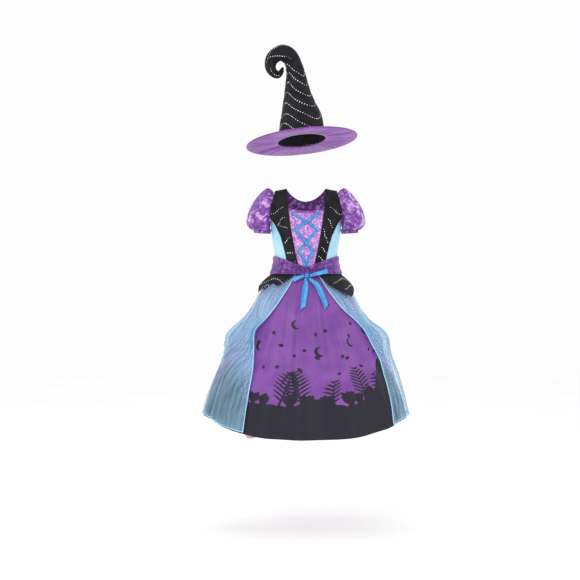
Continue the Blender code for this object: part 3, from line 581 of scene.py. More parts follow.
@dataclass(frozen=True)
class BlackCloth(Finish):
    """Matt black polyester with a napped face, a little lighter in broad clouds."""

    dark: str = "161619"
    lighter_tone: str = "27262B"
    cloud: float = 0.030
    grain: float = 0.0015

    def draw(self, tree: bpy.types.NodeTree, shader: bpy.types.Node) -> None:
        """Nap in clouds, and a grain that is coarser than the real one so that it shows."""
        place = add_node(tree, "ShaderNodeTexCoord")
        cloud = add_node(
            tree,
            "ShaderNodeTexNoise",
            {"Scale": 1 / self.cloud, "Detail": 5.0, "Roughness": 0.65},
            {"Vector": place.outputs["Object"]},
        )
        grain = add_node(
            tree,
            "ShaderNodeTexNoise",
            {"Scale": 1 / self.grain, "Detail": 1.0},
            {"Vector": place.outputs["Object"]},
        )
        stops = ((0.38, self.dark), (0.66, self.lighter_tone))
        ramp = add_node(tree, "ShaderNodeValToRGB", {"stops": stops}, {"Fac": cloud.outputs["Fac"]})
        tree.links.new(ramp.outputs["Color"], shader.inputs["Base Color"])
        relief = add_node(
            tree,
            "ShaderNodeBump",
            {"Strength": 0.3, "Distance": 0.0004},
            {"Height": grain.outputs["Fac"]},
        )
        tree.links.new(relief.outputs[0], shader.inputs["Normal"])


@dataclass(frozen=True)
class Organza(Finish):
    """Crisp sheer organza: see-through where it lies flat, denser where folds gather."""

    colour: str = "86C4EA"
    light: str = "B4DDF6"
    thread: float = 0.009

    def draw(self, tree: bpy.types.NodeTree, shader: bpy.types.Node) -> None:
        """Alpha from the sheer_cover attribute, paler threads along the folds."""
        density = add_node(tree, "ShaderNodeAttribute", {"attribute_name": "sheer_cover"})
        place = add_node(tree, "ShaderNodeTexCoord")
        stretch = add_node(
            tree,
            "ShaderNodeMapping",
            {"Scale": (1.0, 0.10, 1.0)},
            {"Vector": place.outputs["UV"]},
        )
        threads = add_node(
            tree,
            "ShaderNodeTexNoise",
            {"Scale": 1 / self.thread, "Detail": 2.0},
            {"Vector": stretch.outputs[0]},
        )
        uneven = add_node(
            tree,
            "ShaderNodeMapRange",
            {"From Min": 0.35, "From Max": 0.65, "To Min": 0.88, "To Max": 1.12},
            {"Value": threads.outputs["Fac"]},
        )
        alpha = add_node(
            tree,
            "ShaderNodeMath",
            {"operation": "MULTIPLY", "use_clamp": True},
            {0: density.outputs["Fac"], 1: uneven.outputs[0]},
        )
        tree.links.new(alpha.outputs[0], shader.inputs["Alpha"])
        stops = ((0.35, self.colour), (0.70, self.light))
        ramp = add_node(tree, "ShaderNodeValToRGB", {"stops": stops}, {"Fac": threads.outputs["Fac"]})
        tree.links.new(ramp.outputs["Color"], shader.inputs["Base Color"])


@dataclass(frozen=True)
class Foil(Finish):
    """Silver foil dots, hot-pressed on the cloth: small bright domes."""

    spread: float = 0.012

    def draw(self, tree: bpy.types.NodeTree, shader: bpy.types.Node) -> None:
        """Uneven brightness from dot to dot, by a noise wider than their spacing, as painted glints of the
        foil.
        """
        place = add_node(tree, "ShaderNodeTexCoord")
        noise = add_node(
            tree,
            "ShaderNodeTexNoise",
            {"Scale": 1 / self.spread, "Detail": 1.0},
            {"Vector": place.outputs["Object"]},
        )
        # Grey to near white: painted glint, brighter on some dots than on others.
        stops = ((0.36, "8C8C96"), (0.52, "FAFAFC"))
        ramp = add_node(tree, "ShaderNodeValToRGB", {"stops": stops}, {"Fac": noise.outputs["Fac"]})
        tree.links.new(ramp.outputs["Color"], shader.inputs["Base Color"])


VELVET_PILE = {
    "Specular IOR Level": 0.35,
    "Sheen Weight": 0.18,
    "Sheen Roughness": 0.45,
    "Sheen Tint": "D9B8EA",
}
VELVET = CrushedVelvet("crushed_velvet_purple", "velvet_purple", VELVET_PILE)
LILAC = CrushedVelvet(
    "crushed_velvet_lilac", "velvet_lilac", VELVET_PILE, "7B4099", "B57DC4", "DFB6E4", 0.011
)
# A darker copy of the same purple velvet: its extra darkness is painted shade on the sash.
SASH_VELVET = CrushedVelvet(
    "crushed_velvet_sash", "velvet_purple", VELVET_PILE, "3F1A5E", "602F80", "9056A8", 0.016
)
PALE_SATIN = Satin(
    "satin_pale_blue",
    "satin_light_blue",
    {"Roughness": 0.42, "Specular IOR Level": 0.3},
    "ADD9EE",
    "97CBE6",
)
SKIRT_SATIN = PrintedSatin(
    "printed_skirt_satin",
    "satin_purple",
    {"Roughness": 0.40, "Specular IOR Level": 0.25, "Sheen Weight": 0.06, "Sheen Tint": "E0C8F0"},
    "7F4A9B",
    "6F3D8E",
)
LINING = Satin(
    "lining_taffeta_pink", "lining_pink", {"Roughness": 0.5, "Sheen Weight": 0.2}, "DDA6D0", "CF94C2"
)
BRIM_SATIN = Satin(
    "brim_satin_purple", "brim_purple", {"Roughness": 0.36, "Specular IOR Level": 0.3}, "9348B0", "763493"
)
# The lacing's darker clouds, 8 mm across, are painted shade in the ribbon's crinkles.
LACE_RIBBON = RibbonSatin(
    "ribbon_lacing_blue",
    "ribbon_blue",
    {"Roughness": 0.3, "Specular IOR Level": 0.35},
    "55A6DB",
    "2C6FB4",
    cloud=0.008,
)
BOW_RIBBON = RibbonSatin(
    "ribbon_bow_blue",
    "ribbon_blue",
    {"Roughness": 0.26, "Specular IOR Level": 0.4},
    "4DA5DF",
    "2F86CC",
    cloud=0.020,
    half_width=0.0070,
)
DOTTED = BlackCloth(
    "black_polyester", "dotted_black", {"Roughness": 0.8, "Specular IOR Level": 0.12, "Sheen Weight": 0.03}
)
SHEER = Organza("organza_pale_blue", "organza_blue", {"Roughness": 0.32, "Sheen Weight": 0.3})
EDGING = Satin(
    "organza_rolled_edge", "organza_blue", {"Roughness": 0.3, "Sheen Weight": 0.3}, "A4DBF7", "84C6EC"
)
SILVER = Foil("silver_foil", "dotted_black", {"Metallic": 0.4, "Roughness": 0.25})
FLOOR = Satin(
    "floor_matt_vinyl",
    "floor",
    {"Roughness": 1.0, "Specular IOR Level": 0.0},
    "FFFFFF",
    "FDFDFD",
    thread=0.004,
    cloud=0.5,
)


@dataclass(frozen=True)
class Cut:
    """The flat cut of a piece in metres, and its area in square metres."""

    width: float
    length: float
    area: float
    held: Held = Held.DRAPED
    rests_on: tuple = ()


def grid_faces(rows: int, columns: int, ring: bool) -> tuple[Array, Array]:
    """Quads of a grid, and for each the row and column of its corners in the UV grid.

    Args:
        rows: Number of rows.
        columns: Number of columns.
        ring: Whether the last column joins the first.

    Returns:
        Corner numbers by quad, and corner places by quad in a grid one column wider.
    """
    wide = columns if ring else columns - 1
    row, place = np.meshgrid(np.arange(rows - 1), np.arange(wide), indexing="ij")
    row, place = row.ravel(), place.ravel()
    after = (place + 1) % columns
    here, below = row * columns, (row + 1) * columns
    quads = np.stack([here + place, below + place, below + after, here + after], axis=1)
    here, below = row * (columns + 1) + place, (row + 1) * (columns + 1) + place
    return quads, np.stack([here, below, below + 1, here + 1], axis=1)


def build_piece(
    name: str,
    grid: Array,
    finish: Finish,
    wall: float = SHELL,
    offset: float = -1.0,
    ring: bool = False,
    tips: tuple = (None, None),
    values: dict[str, Array] | None = None,
) -> bpy.types.Object:
    """Make a cloth piece from a grid of points, with UVs in metres along the cloth.

    Args:
        name: Name of the piece.
        grid: Points of rows and columns.
        finish: Its finish.
        wall: Thickness that Solidify gives it.
        offset: -1 thickens inwards from the grid, 1 outwards.
        ring: Whether the last column joins the first.
        tips: Points that close the first and the last row, or None.
        values: Numbers for each point by attribute name.

    Returns:
        The finished piece, riding on the body.
    """
    rows, columns = grid.shape[:2]
    wide = np.concatenate([grid, grid[:, :1] if ring else grid[:, -1:]], axis=1)
    across, down = cloth_lengths(wide)
    quads, places = grid_faces(rows, columns, ring)
    points = grid.reshape(-1, 3)
    faces = quads.tolist()
    uv = np.stack([across, down], axis=-1).reshape(-1, 2)[places].reshape(-1, 2)
    for tip, first in zip(tips, (0, (rows - 1) * columns)):
        if tip is not None:
            points = np.vstack([points, tip])
            edge = [(first + place, first + (place + 1) % columns) for place in range(columns)]
            faces.extend((len(points) - 1, *(pair if first == 0 else pair[::-1])) for pair in edge)
            uv = np.vstack([uv, np.zeros((3 * columns, 2))])
    mesh = bpy.data.meshes.new(name)
    mesh.from_pydata(points.tolist(), [], faces)
    mesh.shade_smooth()
    mesh.uv_layers.new(name="cloth").data.foreach_set("uv", uv.astype(np.float32).ravel())
    for key, numbers in (values or {}).items():
        numbers = np.broadcast_to(numbers, grid.shape[:2]).ravel().astype(np.float32)
        numbers = np.append(numbers, [numbers[:columns].mean()] * (len(points) - rows * columns))
        mesh.attributes.new(key, "FLOAT", "POINT").data.foreach_set("value", numbers.astype(np.float32))
    mesh.materials.append(finish.material())
    piece = bpy.data.objects.new(name, mesh)
    bpy.context.scene.collection.objects.link(piece)
    if wall:
        solidify = piece.modifiers.new("wall", "SOLIDIFY")
        solidify.thickness = wall
        solidify.offset = offset
        solidify.use_quality_normals = True
    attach(piece, BODY)
    step_across = np.diff(grid, axis=1)[:-1]
    step_down = np.diff(grid, axis=0)[:, :-1]
    area = np.linalg.norm(np.cross(step_across, step_down), axis=-1).sum()
    LOG.info("%s: %d faces, %.4f square metres", name, len(faces), area)
    return piece


def declare(
    node: str, cut: Cut
) -> None:
    """Hide the CAD node that a cloth piece stands for; the cut it was made from is read but not recorded."""
    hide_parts(node)
    cut.length
    list(cut.rests_on)


def edge_strip(name: str, path: Array, outward: Array, radius: float, finish: Finish) -> bpy.types.Object:
    """Rolled edge along a path: a tube whose round section is carried along the path.

    Args:
        name: Name of the piece.
        path: Points that the edge follows.
        outward: Direction away from the cloth at each point.
        radius: Radius of the roll.
        finish: Its finish.

    Returns:
        The piece, riding on the body.
    """
    along = np.gradient(path, axis=0)
    along /= np.linalg.norm(along, axis=1, keepdims=True)
    side = np.cross(outward, along)
    side /= np.linalg.norm(side, axis=1, keepdims=True)
    up = np.cross(along, side)
    turn = np.arange(ROUND_SIDES) / ROUND_SIDES * 2 * math.pi
    ring = np.cos(turn)[None, :, None] * side[:, None] + np.sin(turn)[None, :, None] * up[:, None]
    size = np.full((len(path), 1, 1), radius)
    size[[0, -1]] = radius * EDGE_TAPER
    return build_piece(name, path[:, None] + ring * size, finish, wall=0.0, ring=True)


@dataclass(frozen=True)
class DotRow:
    """A row of foil dots along a path on a surface."""

    path: Array
    outward: Array
    gap: float = 0.0086
    size: float = 0.0018


def dot_places(row: DotRow, draw: np.random.Generator) -> tuple[Array, Array, Array]:
    """Even places along a row's path, with normals and uneven radii.

    Args:
        row: The row.
        draw: Seeded generator for the sizes.

    Returns:
        Points, normals and radii.
    """
    step = np.linalg.norm(np.diff(row.path, axis=0), axis=1)
    along = np.concatenate([[0], np.cumsum(step)])
    at = np.arange(row.gap / 2, along[-1], row.gap)
    points = np.stack([np.interp(at, along, row.path[:, axis]) for axis in range(3)], axis=1)
    normals = np.stack([np.interp(at, along, row.outward[:, axis]) for axis in range(3)], axis=1)
    normals /= np.linalg.norm(normals, axis=1, keepdims=True)
    swell = 0.62 + 0.48 * np.sin(at / along[-1] * math.pi) + draw.uniform(-0.18, 0.18, len(at))
    return points, normals, row.size * swell


def build_dots(name: str, rows: Sequence[DotRow], seed: int) -> bpy.types.Object:
    """Foil dots as one piece: each a low dome with eight sides, sunk a little into the cloth.

    Args:
        name: Name of the piece.
        rows: The rows of dots.
        seed: Seed of the uneven sizes.

    Returns:
        The piece, riding on the body.
    """
    draw = np.random.default_rng(seed)
    found = [dot_places(row, draw) for row in rows]
    points, normals, radii = (np.concatenate([part[i] for part in found]) for i in range(3))
    helper = np.where(np.abs(normals[:, :1]) < 0.8, [[1.0, 0.0, 0.0]], [[0.0, 1.0, 0.0]])
    side = np.cross(normals, helper)
    side /= np.linalg.norm(side, axis=1, keepdims=True)
    up = np.cross(normals, side)
    turn = np.arange(ROUND_SIDES) / ROUND_SIDES * 2 * math.pi
    shells = [points - DOT_SUNK * radii[:, None] * normals]
    for reach, height in ((1.0, -DOT_SUNK), DOT_SHOULDER):
        for angle in turn:
            spoke = math.cos(angle) * side + math.sin(angle) * up
            shells.append(points + radii[:, None] * (reach * spoke + height * normals))
    shells.append(points + DOT_HEIGHT * radii[:, None] * normals)
    stacked = np.stack(shells, axis=1)
    faces = []
    upper = 1 + ROUND_SIDES
    top = upper + ROUND_SIDES
    for place in range(ROUND_SIDES):
        after = (place + 1) % ROUND_SIDES
        faces.append((0, 1 + after, 1 + place, 0))
        faces.append((1 + place, 1 + after, upper + after, upper + place))
        faces.append((upper + place, upper + after, top, upper + place))
    faces = np.array(faces)
    every = (faces[None] + (top + 1) * np.arange(len(points))[:, None, None]).reshape(-1, 4)
    tidy = [tuple(dict.fromkeys(face)) for face in every.tolist()]
    mesh = bpy.data.meshes.new(name)
    mesh.from_pydata(stacked.reshape(-1, 3).tolist(), [], tidy)
    mesh.shade_smooth()
    mesh.materials.append(SILVER.material())
    piece = bpy.data.objects.new(name, mesh)
    bpy.context.scene.collection.objects.link(piece)
    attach(piece, BODY)
    LOG.info("%s: %d dots", name, len(points))
    return piece


def row_on(
    surface: Surface,
    across: Array,
    down: Array,
    flip: float = 1.0,
    gap: float = 0.0086,
    size: float = 0.0018,
) -> DotRow:
    """Row of dots along a path in a surface's two parameters.

    Args:
        surface: Gives the cloth's outer face.
        across: First parameter along the path.
        down: Second parameter along the path.
        flip: -1 where the surface's second parameter rises upwards.
        gap: Distance from dot to dot.
        size: Radius of a dot.

    Returns:
        The row, with the surface's normals.
    """
    step = DOT_NORMAL_STEP
    sideways = surface(across + step, down) - surface(across - step, down)
    downwards = surface(across, down + step) - surface(across, down - step)
    normal = np.cross(downwards, sideways) * flip
    normal /= np.linalg.norm(normal, axis=-1, keepdims=True)
    return DotRow(surface(across, down), normal, gap, size)


@dataclass(frozen=True)
class Front:
    """Lines that the bodice's pieces share: armhole, lapel edges, seams and neckline."""

    bottom: float = -0.2592
    back_neck: float = 0.45
    neckline: float = -0.063
    neck_dip: float = 0.009
    princess: float = 0.25
    armhole_drops: tuple = (-1.0, -0.6, -0.25, 0.0, 0.017)
    armhole_degrees: tuple = (66.0, 61.0, 63.0, 73.0, 90.0)
    lapel_heights: tuple = (-0.246, -0.200, -0.153, -0.117, -0.088, -0.060, 0.000)
    lapel_inner: tuple = (0.0240, 0.0340, 0.0430, 0.0490, 0.0525, 0.0570, 0.0630)
    lapel_outer: tuple = (0.0560, 0.0660, 0.0780, 0.0940, 0.1130, 0.1100, 0.0990)

    def armhole(self, drop: Array) -> Array:
        """Angle of the armhole edge, and of the side seam below the underarm."""
        return np.radians(np.interp(drop, self.armhole_drops, self.armhole_degrees))

    def lapel(self, drop: Array) -> tuple[Array, Array]:
        """The lapel's inner and outer distance from centre front at a drop."""
        height = TORSO.height(drop)
        inner = np.interp(height, self.lapel_heights, self.lapel_inner)
        return inner, np.interp(height, self.lapel_heights, self.lapel_outer)

    def princess_x(self, drop: Array) -> Array:
        """Distance of the seam beside centre front from centre front."""
        inner, outer = self.lapel(drop)
        return inner + self.princess * (outer - inner)

    def side_margin(self, drop: Array) -> Array:
        """Angle that keeps the side seam's gap clear below the underarm."""
        below = drop >= self.armhole_drops[-1]
        return np.where(below, TORSO.seam_angle(TORSO.half_depths[0]), 0.0)

    def rows(self, count: int) -> Array:
        """Drops of the bodice's rows from the shoulder seam to the waist."""
        over = -np.linspace(1.0, 0.0, count // 2) ** 0.9
        down = np.linspace(0.0, float(TORSO.drop(np.array(self.bottom))), count // 2)[1:]
        return np.concatenate([over, down])


FRONT = Front()


@dataclass
class Bodice:
    """Velvet centre front, pale-blue side fronts, plain velvet backs and the neck binding."""

    binding: float = 0.007
    back_seam: float = 1e-5
    centre_cut: Cut = Cut(0.120, 0.200, 0.0190)
    side_cut: Cut = Cut(0.110, 0.285, 0.0215)
    back_cut: Cut = Cut(0.160, 0.270, 0.0340)
    binding_cut: Cut = Cut(0.120, 0.010, 0.0009, Held.STRETCHED)

    def centre_front(self) -> None:
        """Panel under the lacing; its width follows the lapel seams, its top dips."""
        across = np.linspace(-1, 1, 60)
        neck = FRONT.neckline - FRONT.neck_dip * (1 - across**2)
        down = np.linspace(0, 1, 90)[:, None]
        drop = TORSO.drop(neck + (FRONT.bottom - neck) * down)
        reach = FRONT.princess_x(drop) - SEAM_GAP / 2
        soft = 0.0003 * rumple(across * 2.2, down * 5, 11) - 0.0002
        angle = TORSO.angle(across * reach, TORSO.height(drop))
        grid = moved_out(TORSO.point, angle, drop, CLOTH + soft)
        piece = build_piece("bodice_centre_front_cloth", grid, LILAC)
        declare("bodice_centre_front", self.centre_cut)

    def side_fronts(self) -> None:
        """Satin panels from the lapel seam to the side seam, finely drawn up lengthwise."""
        drop = FRONT.rows(80)[:, None]
        start = TORSO.angle(FRONT.princess_x(drop) + SEAM_GAP / 2, TORSO.height(drop))
        end = FRONT.armhole(drop) - FRONT.side_margin(drop)
        share = np.linspace(0, 1, 40)
        drawn = ease((drop + 0.2) * 4) * 0.00035
        soft = drawn * rumple(share * 7, drop * 6, 5) + 0.0003 * rumple(share * 1.5, drop * 14, 8)
        grid = moved_out(TORSO.point, start + (end - start) * share, drop, CLOTH + soft)
        grid[0, :, 1] -= SEAM_GAP / 2
        for side, shape in (("right", grid), ("left", mirrored(grid))):
            piece = build_piece(f"bodice_side_{side}_cloth", shape, PALE_SATIN)
            declare(f"bodice_side_{side}", self.side_cut)

    def backs(self) -> None:
        """Two backs that meet at the centre back seam, with a scooped neck."""
        ridge = math.radians(FRONT.armhole_degrees[0])
        neck = float(TORSO.angle(np.array(TORSO.neck), np.array(0.0)))
        share = np.concatenate([np.linspace(0, neck / ridge, 40), np.linspace(neck / ridge, 1, 20)[1:]])
        along = np.clip(share * ridge / neck, 0, 1)
        top = -1 + (1 - FRONT.back_neck) * np.sqrt(1 - along**2)
        rows = FRONT.rows(100)
        drop = top + (rows[-1] - top) * (rows[:, None] + 1) / (rows[-1] + 1)
        seam = self.back_seam
        outer = FRONT.armhole(drop) - FRONT.side_margin(drop)
        angle = math.pi - (seam + (outer - seam) * share)
        soft = 0.0004 * rumple(share * 2.5, drop * 9, 21) - 0.0003 * bump(share, 0.0, 0.03)
        grid = moved_out(TORSO.point, angle, drop, CLOTH + soft)
        grid[0, share * ridge >= neck, 1] += SEAM_GAP / 2
        grid = grid[:, ::-1]
        for side, shape in (("right", grid), ("left", mirrored(grid))):
            piece = build_piece(f"bodice_back_{side}_cloth", shape, VELVET)
            declare(f"bodice_back_{side}", self.back_cut)

    def neck_binding(self) -> None:
        """Narrow band along the neckline, rounded across."""
        across = np.linspace(-1, 1, 80)
        down = np.linspace(0, 1, 10)[:, None]
        height = FRONT.neckline - FRONT.neck_dip * (1 - across**2) - self.binding * down
        drop = TORSO.drop(height)
        inner = FRONT.lapel(drop)[0] - 2 * SEAM_GAP
        round_over = 0.0007 * np.sin(down * math.pi) + 0.0002 * rumple(across * 9, down, 3)
        out = CLOTH + LAYER_GAP + RIBBON + round_over
        grid = moved_out(TORSO.point, TORSO.angle(across * inner, height), drop, out)
        piece = build_piece("neck_binding_cloth", grid, VELVET)
        declare("neck_binding", self.binding_cut)

    def build(self) -> None:
        """Make every piece of the bodice."""
        self.centre_front()
        self.side_fronts()
        self.backs()
        self.neck_binding()


@dataclass
class Lapels:
    """Black lapels over the shoulders to a plain collar, with short wavy rows of dots."""

    wall: float = 0.0015
    shell: float = 0.0012
    dot_gap: float = 0.0076
    dot_size: float = 0.0017
    on_body: float = 0.097
    collar_level: float = 0.16
    cut: Cut = Cut(0.070, 0.400, 0.0190)
    rows_right: tuple = (
        (-0.060, 0.30, 0.98, 0.020), (-0.098, 0.25, 0.80, 0.024), (-0.128, 0.10, 0.42, 0.018),
        (-0.150, 0.30, 0.95, 0.022), (-0.186, 0.25, 0.95, 0.016), (-0.215, 0.15, 0.90, 0.012),
    )
    rows_left: tuple = (
        (-0.060, 0.25, 0.95, 0.018), (-0.092, 0.20, 0.92, 0.022), (-0.126, 0.20, 0.80, -0.010),
        (-0.155, 0.15, 0.90, 0.016), (-0.205, 0.20, 0.98, -0.004), (-0.232, 0.10, 0.62, 0.006),
    )

    def front(self, share: Array, height: Array) -> Array:
        """Outer face of the right lapel: share from inner to outer edge, by height.

        The part past the shoulder's edge runs on sideways from the body's curve.
        """
        drop = TORSO.drop(height)
        inner, outer = FRONT.lapel(drop)
        x = inner + (outer - inner) * share
        held = np.minimum(x, self.on_body)
        soft = 0.0004 * rumple(share * 1.2, height * 24, 31) - 0.0002
        out = CLOTH + LAPEL_STANDOFF + self.wall + soft
        points = moved_out(TORSO.point, TORSO.angle(held, TORSO.height(drop)), drop, out)
        points[..., 0] += x - held
        return points

    def collar(self, share: Array, turn: Array) -> Array:
        """Outer face of the back collar, turning from the shoulder to centre back."""
        inner, outer = FRONT.lapel(np.array(-1.0))
        sideways = np.maximum((inner + (outer - inner) * share) * np.cos(turn), SEAM_GAP)
        level = FRONT.back_neck + (self.collar_level - FRONT.back_neck) * share
        drop = -1 + (1 - level) * np.sin(turn)
        angle = math.pi - TORSO.angle(sideways, TORSO.height(drop))
        return moved_out(TORSO.point, angle, drop, CLOTH + LAPEL_STANDOFF + self.wall)

    def build(self) -> None:
        """Make both lapels and their rows of dots."""
        share = np.linspace(0, 1, 30)
        over = TORSO.height(-np.linspace(1.0, 0.0, 60) ** 0.9)
        down = np.linspace(TORSO.chest, FRONT.lapel_heights[0], 70)[1:]
        height = np.concatenate([over, down])[:, None]
        turn = np.linspace(math.pi / 2, 0, 50)[:-1][:, None]
        grid = np.concatenate([self.collar(share, turn), self.front(share, height)])
        for side, rows in (("right", self.rows_right), ("left", self.rows_left)):
            shape = grid if side == "right" else mirrored(grid)
            dots = self.dots(side, rows)
            piece = build_piece(f"lapel_{side}_cloth", shape, DOTTED, wall=self.shell)
            declare(f"lapel_{side}", self.cut)

    def dots(self, side: str, rows: tuple) -> bpy.types.Object:
        """Rows that fall from the inner towards the outer edge in a soft wave."""
        found = []
        for height, start, end, fall in rows:
            share = np.linspace(start, end, 60)
            t = (share - start) / (end - start)
            wave = 0.0016 * np.sin(t * 2 * math.pi)
            level = height - fall * ease(t) + wave
            row = row_on(self.front, share, level, -1.0, self.dot_gap, self.dot_size)
            if side == "left":
                flip = np.array([-1.0, 1.0, 1.0])
                row = DotRow(row.path * flip, row.outward * flip, row.gap, row.size)
            found.append(row)
        return build_dots(f"lapel_{side}_dots", found, 41 if side == "right" else 43)


def ribbon_grid(path: Array, width: Array, place: Surface, slant: float = 0.0) -> Array:
    """Strip of five columns along a path of x and height, mitred where it turns.

    Args:
        path: Places of x and height.
        width: Width at each place.
        place: Puts x and height on the cloth below.
        slant: How much the last row leans.

    Returns:
        Points of rows and columns.
    """
    before = np.diff(path, axis=0)
    before = before / np.linalg.norm(before, axis=1, keepdims=True)
    outgoing = np.vstack([before, before[-1:]])
    tangent = np.vstack([before[:1], before]) + outgoing
    tangent = tangent / np.linalg.norm(tangent, axis=1, keepdims=True)
    stretch = 1 / np.maximum(np.sum(tangent * outgoing, axis=1), MITRE_LIMIT)
    side = np.stack([-tangent[:, 1], tangent[:, 0]], axis=1) * (width / 2 * stretch)[:, None]
    share = np.linspace(-1, 1, 5)
    points = path[:, None] + side[:, None] * share[None, :, None]
    points[-1, :, 1] -= slant * share
    return place(points[..., 0], points[..., 1])


@dataclass
class Lacing:
    """Two satin ribbons that zigzag down the centre front and cross in the middle."""

    width: float = 0.0090
    xs: tuple = (-0.0440, 0.0000, 0.0350, 0.0000, -0.0230, 0.0000, 0.0090)
    heights: tuple = (-0.0790, -0.1055, -0.1290, -0.1715, -0.1985, -0.2340, -0.2480)
    steps: int = 14
    cut: Cut = Cut(0.010, 0.245, 0.00225, Held.STRETCHED)

    def build(self) -> None:
        """Make the ribbon underneath and the ribbon over it."""
        knots = np.arange(len(self.xs))
        at = np.linspace(0, len(self.xs) - 1, (len(self.xs) - 1) * self.steps + 1)
        path = np.stack([np.interp(at, knots, self.xs), np.interp(at, knots, self.heights)], axis=1)
        width = np.full(len(path), self.width)
        layers = (
            ("under", CLOTH + LAYER_GAP + RIBBON, 1),
            ("over", CLOTH + 2 * LAYER_GAP + 2 * RIBBON, 2),
        )
        for name, out, seed in layers:
            crinkle = 0.00015 * rumple(at[:, None] * 2.3, np.linspace(0, 0.6, 5), seed)

            def on_front(x: Array, height: Array) -> Array:
                """Put x and height on the bodice front."""
                return moved_out(TORSO.point, TORSO.angle(x, height), TORSO.drop(height), out + crinkle)

            grid = ribbon_grid(path, width, on_front)
            shape = grid if name == "under" else mirrored(grid)
            piece = build_piece(f"lacing_{name}_ribbon", shape, LACE_RIBBON, wall=0.0006)
            declare(f"lacing_{name}", self.cut)


@dataclass
class Sleeves:
    """Puff sleeves of crushed velvet, gathered into the armhole and a narrow cuff."""

    outer_x: tuple = (0.1230, 0.1430, 0.1630, 0.1790, 0.1870, 0.1870, 0.1790, 0.1650)
    outer_z: tuple = (0.0030, -0.0120, -0.0360, -0.0640, -0.0920, -0.1090, -0.1210, -0.1280)
    inner_x: tuple = (0.1175, 0.1160, 0.1145, 0.1135, 0.1135, 0.1135, 0.1140, 0.1150)
    inner_z: tuple = (-0.1150, -0.1210, -0.1250, -0.1270, -0.1285, -0.1295, -0.1305, -0.1312)
    half_depths: tuple = (0.045, 0.049, 0.051, 0.051, 0.049, 0.045, 0.038, 0.028)
    gathers: tuple = (0.0008, 0.0018, 0.0022, 0.0022, 0.0022, 0.0020, 0.0016, 0.0006)
    pleats: int = 26
    head_pleat: float = 0.0013
    cuff_pleat: float = 0.0019
    puffiness: float = 0.0016
    ribs: int = 36
    rib_depth: float = 0.0004
    cuff_rounding: float = 0.0006
    gather_reach: float = 0.04
    gather_waves: int = 6
    head_gap: float = 0.0020
    cuff_height: float = 0.0070
    cuff_wall: float = 0.0015
    columns: int = 128
    cut: Cut = Cut(0.330, 0.150, 0.0400, Held.GATHERED)
    cuff_cut: Cut = Cut(0.160, 0.010, 0.0015, Held.STRETCHED)

    def ring(self, number: int, turn: Array, gather: float) -> Array:
        """One ring: an ellipse between its outer and inner end, with a few wide gathers."""
        outer = np.array([self.outer_x[number], 0.0, self.outer_z[number]])
        inner = np.array([self.inner_x[number], 0.0, self.inner_z[number]])
        centre = (outer + inner) / 2
        grown = 1 + gather / self.gather_reach * np.cos(self.gather_waves * turn)
        depth = np.array([0.0, -self.half_depths[number], 0.0])
        along = (grown * np.cos(turn))[:, None] * (outer - centre)
        return centre + along + (grown * np.sin(turn))[:, None] * depth

    def head(self, turn: Array) -> Array:
        """Ring round the armhole, from the shoulder down the front and up the back."""
        share = 1 - np.abs(1 - turn / math.pi)
        drop = np.interp(share, np.linspace(0, 1, len(FRONT.armhole_drops)), FRONT.armhole_drops)
        ring = moved_out(TORSO.point, FRONT.armhole(drop), drop, np.zeros_like(drop))
        ring[:, 1] *= np.where(turn > math.pi, -1, 1)
        ring[:, 0] += CLOTH + self.head_gap
        ring[:, 2] += CLOTH * np.cos(turn)
        return ring

    def build(self) -> None:
        """Make both sleeves and both cuffs."""
        turn = np.arange(self.columns) / self.columns * 2 * math.pi
        rings = [self.head(turn)]
        rings += [self.ring(number, turn, self.gathers[number]) for number in range(len(self.outer_x))]
        at = np.linspace(0, len(rings) - 1, 72)
        grid = smooth_rows(np.array(rings), at)
        grid = grid[:, ::-1]
        row = at[:, None]
        around = np.cos(turn[::-1]) * 2.0
        other = np.sin(turn[::-1]) * 2.0
        last = len(rings) - 1
        back = turn[::-1]
        pleats = np.cos(self.pleats * back + 1.6 * np.sin(3 * back) + 0.5 * np.sin(7 * back))
        at_head = self.head_pleat * np.exp(-row / 1.3) * ease(row * 3) * pleats
        at_cuff = self.cuff_pleat * np.exp(-(last - row) / 1.5) * ease((last - row) * 3) * pleats
        puffy = self.puffiness * rumple(around * 0.8 + row * 0.05, other * 0.8, 17)
        puffy = puffy * ease(row / 2) * ease((last - row) / 2)
        grid = push(grid, CLOTH + at_head + at_cuff + puffy, ring=True)
        for side, shape in (("right", grid), ("left", mirrored(grid))):
            piece = build_piece(f"sleeve_{side}_cloth", shape, VELVET, ring=True)
            declare(f"sleeve_{side}", self.cut)
        self.cuffs(turn)

    def cuffs(self, turn: Array) -> None:
        """Narrow bands drawn in by elastic: an even ribbing round a slightly rounded band."""
        upper = self.ring(len(self.outer_x) - 1, turn, 0.0)
        upper[:, 2] -= SEAM_GAP + CLOTH
        share = np.linspace(0, 1, 12)[:, None]
        grid = upper[None] - share[..., None] * np.array([0.0, 0.0, self.cuff_height])
        grid = grid[:, ::-1]
        middle = np.sin(share * math.pi)
        ribs = self.rib_depth * np.cos(self.ribs * turn + np.sin(2 * turn)) * middle
        grid = push(grid, self.cuff_wall + ribs + self.cuff_rounding * middle, ring=True)
        for side, shape in (("right", grid), ("left", mirrored(grid))):
            piece = build_piece(f"cuff_{side}_cloth", shape, VELVET, wall=0.0012, ring=True)
            declare(f"cuff_{side}", self.cuff_cut)


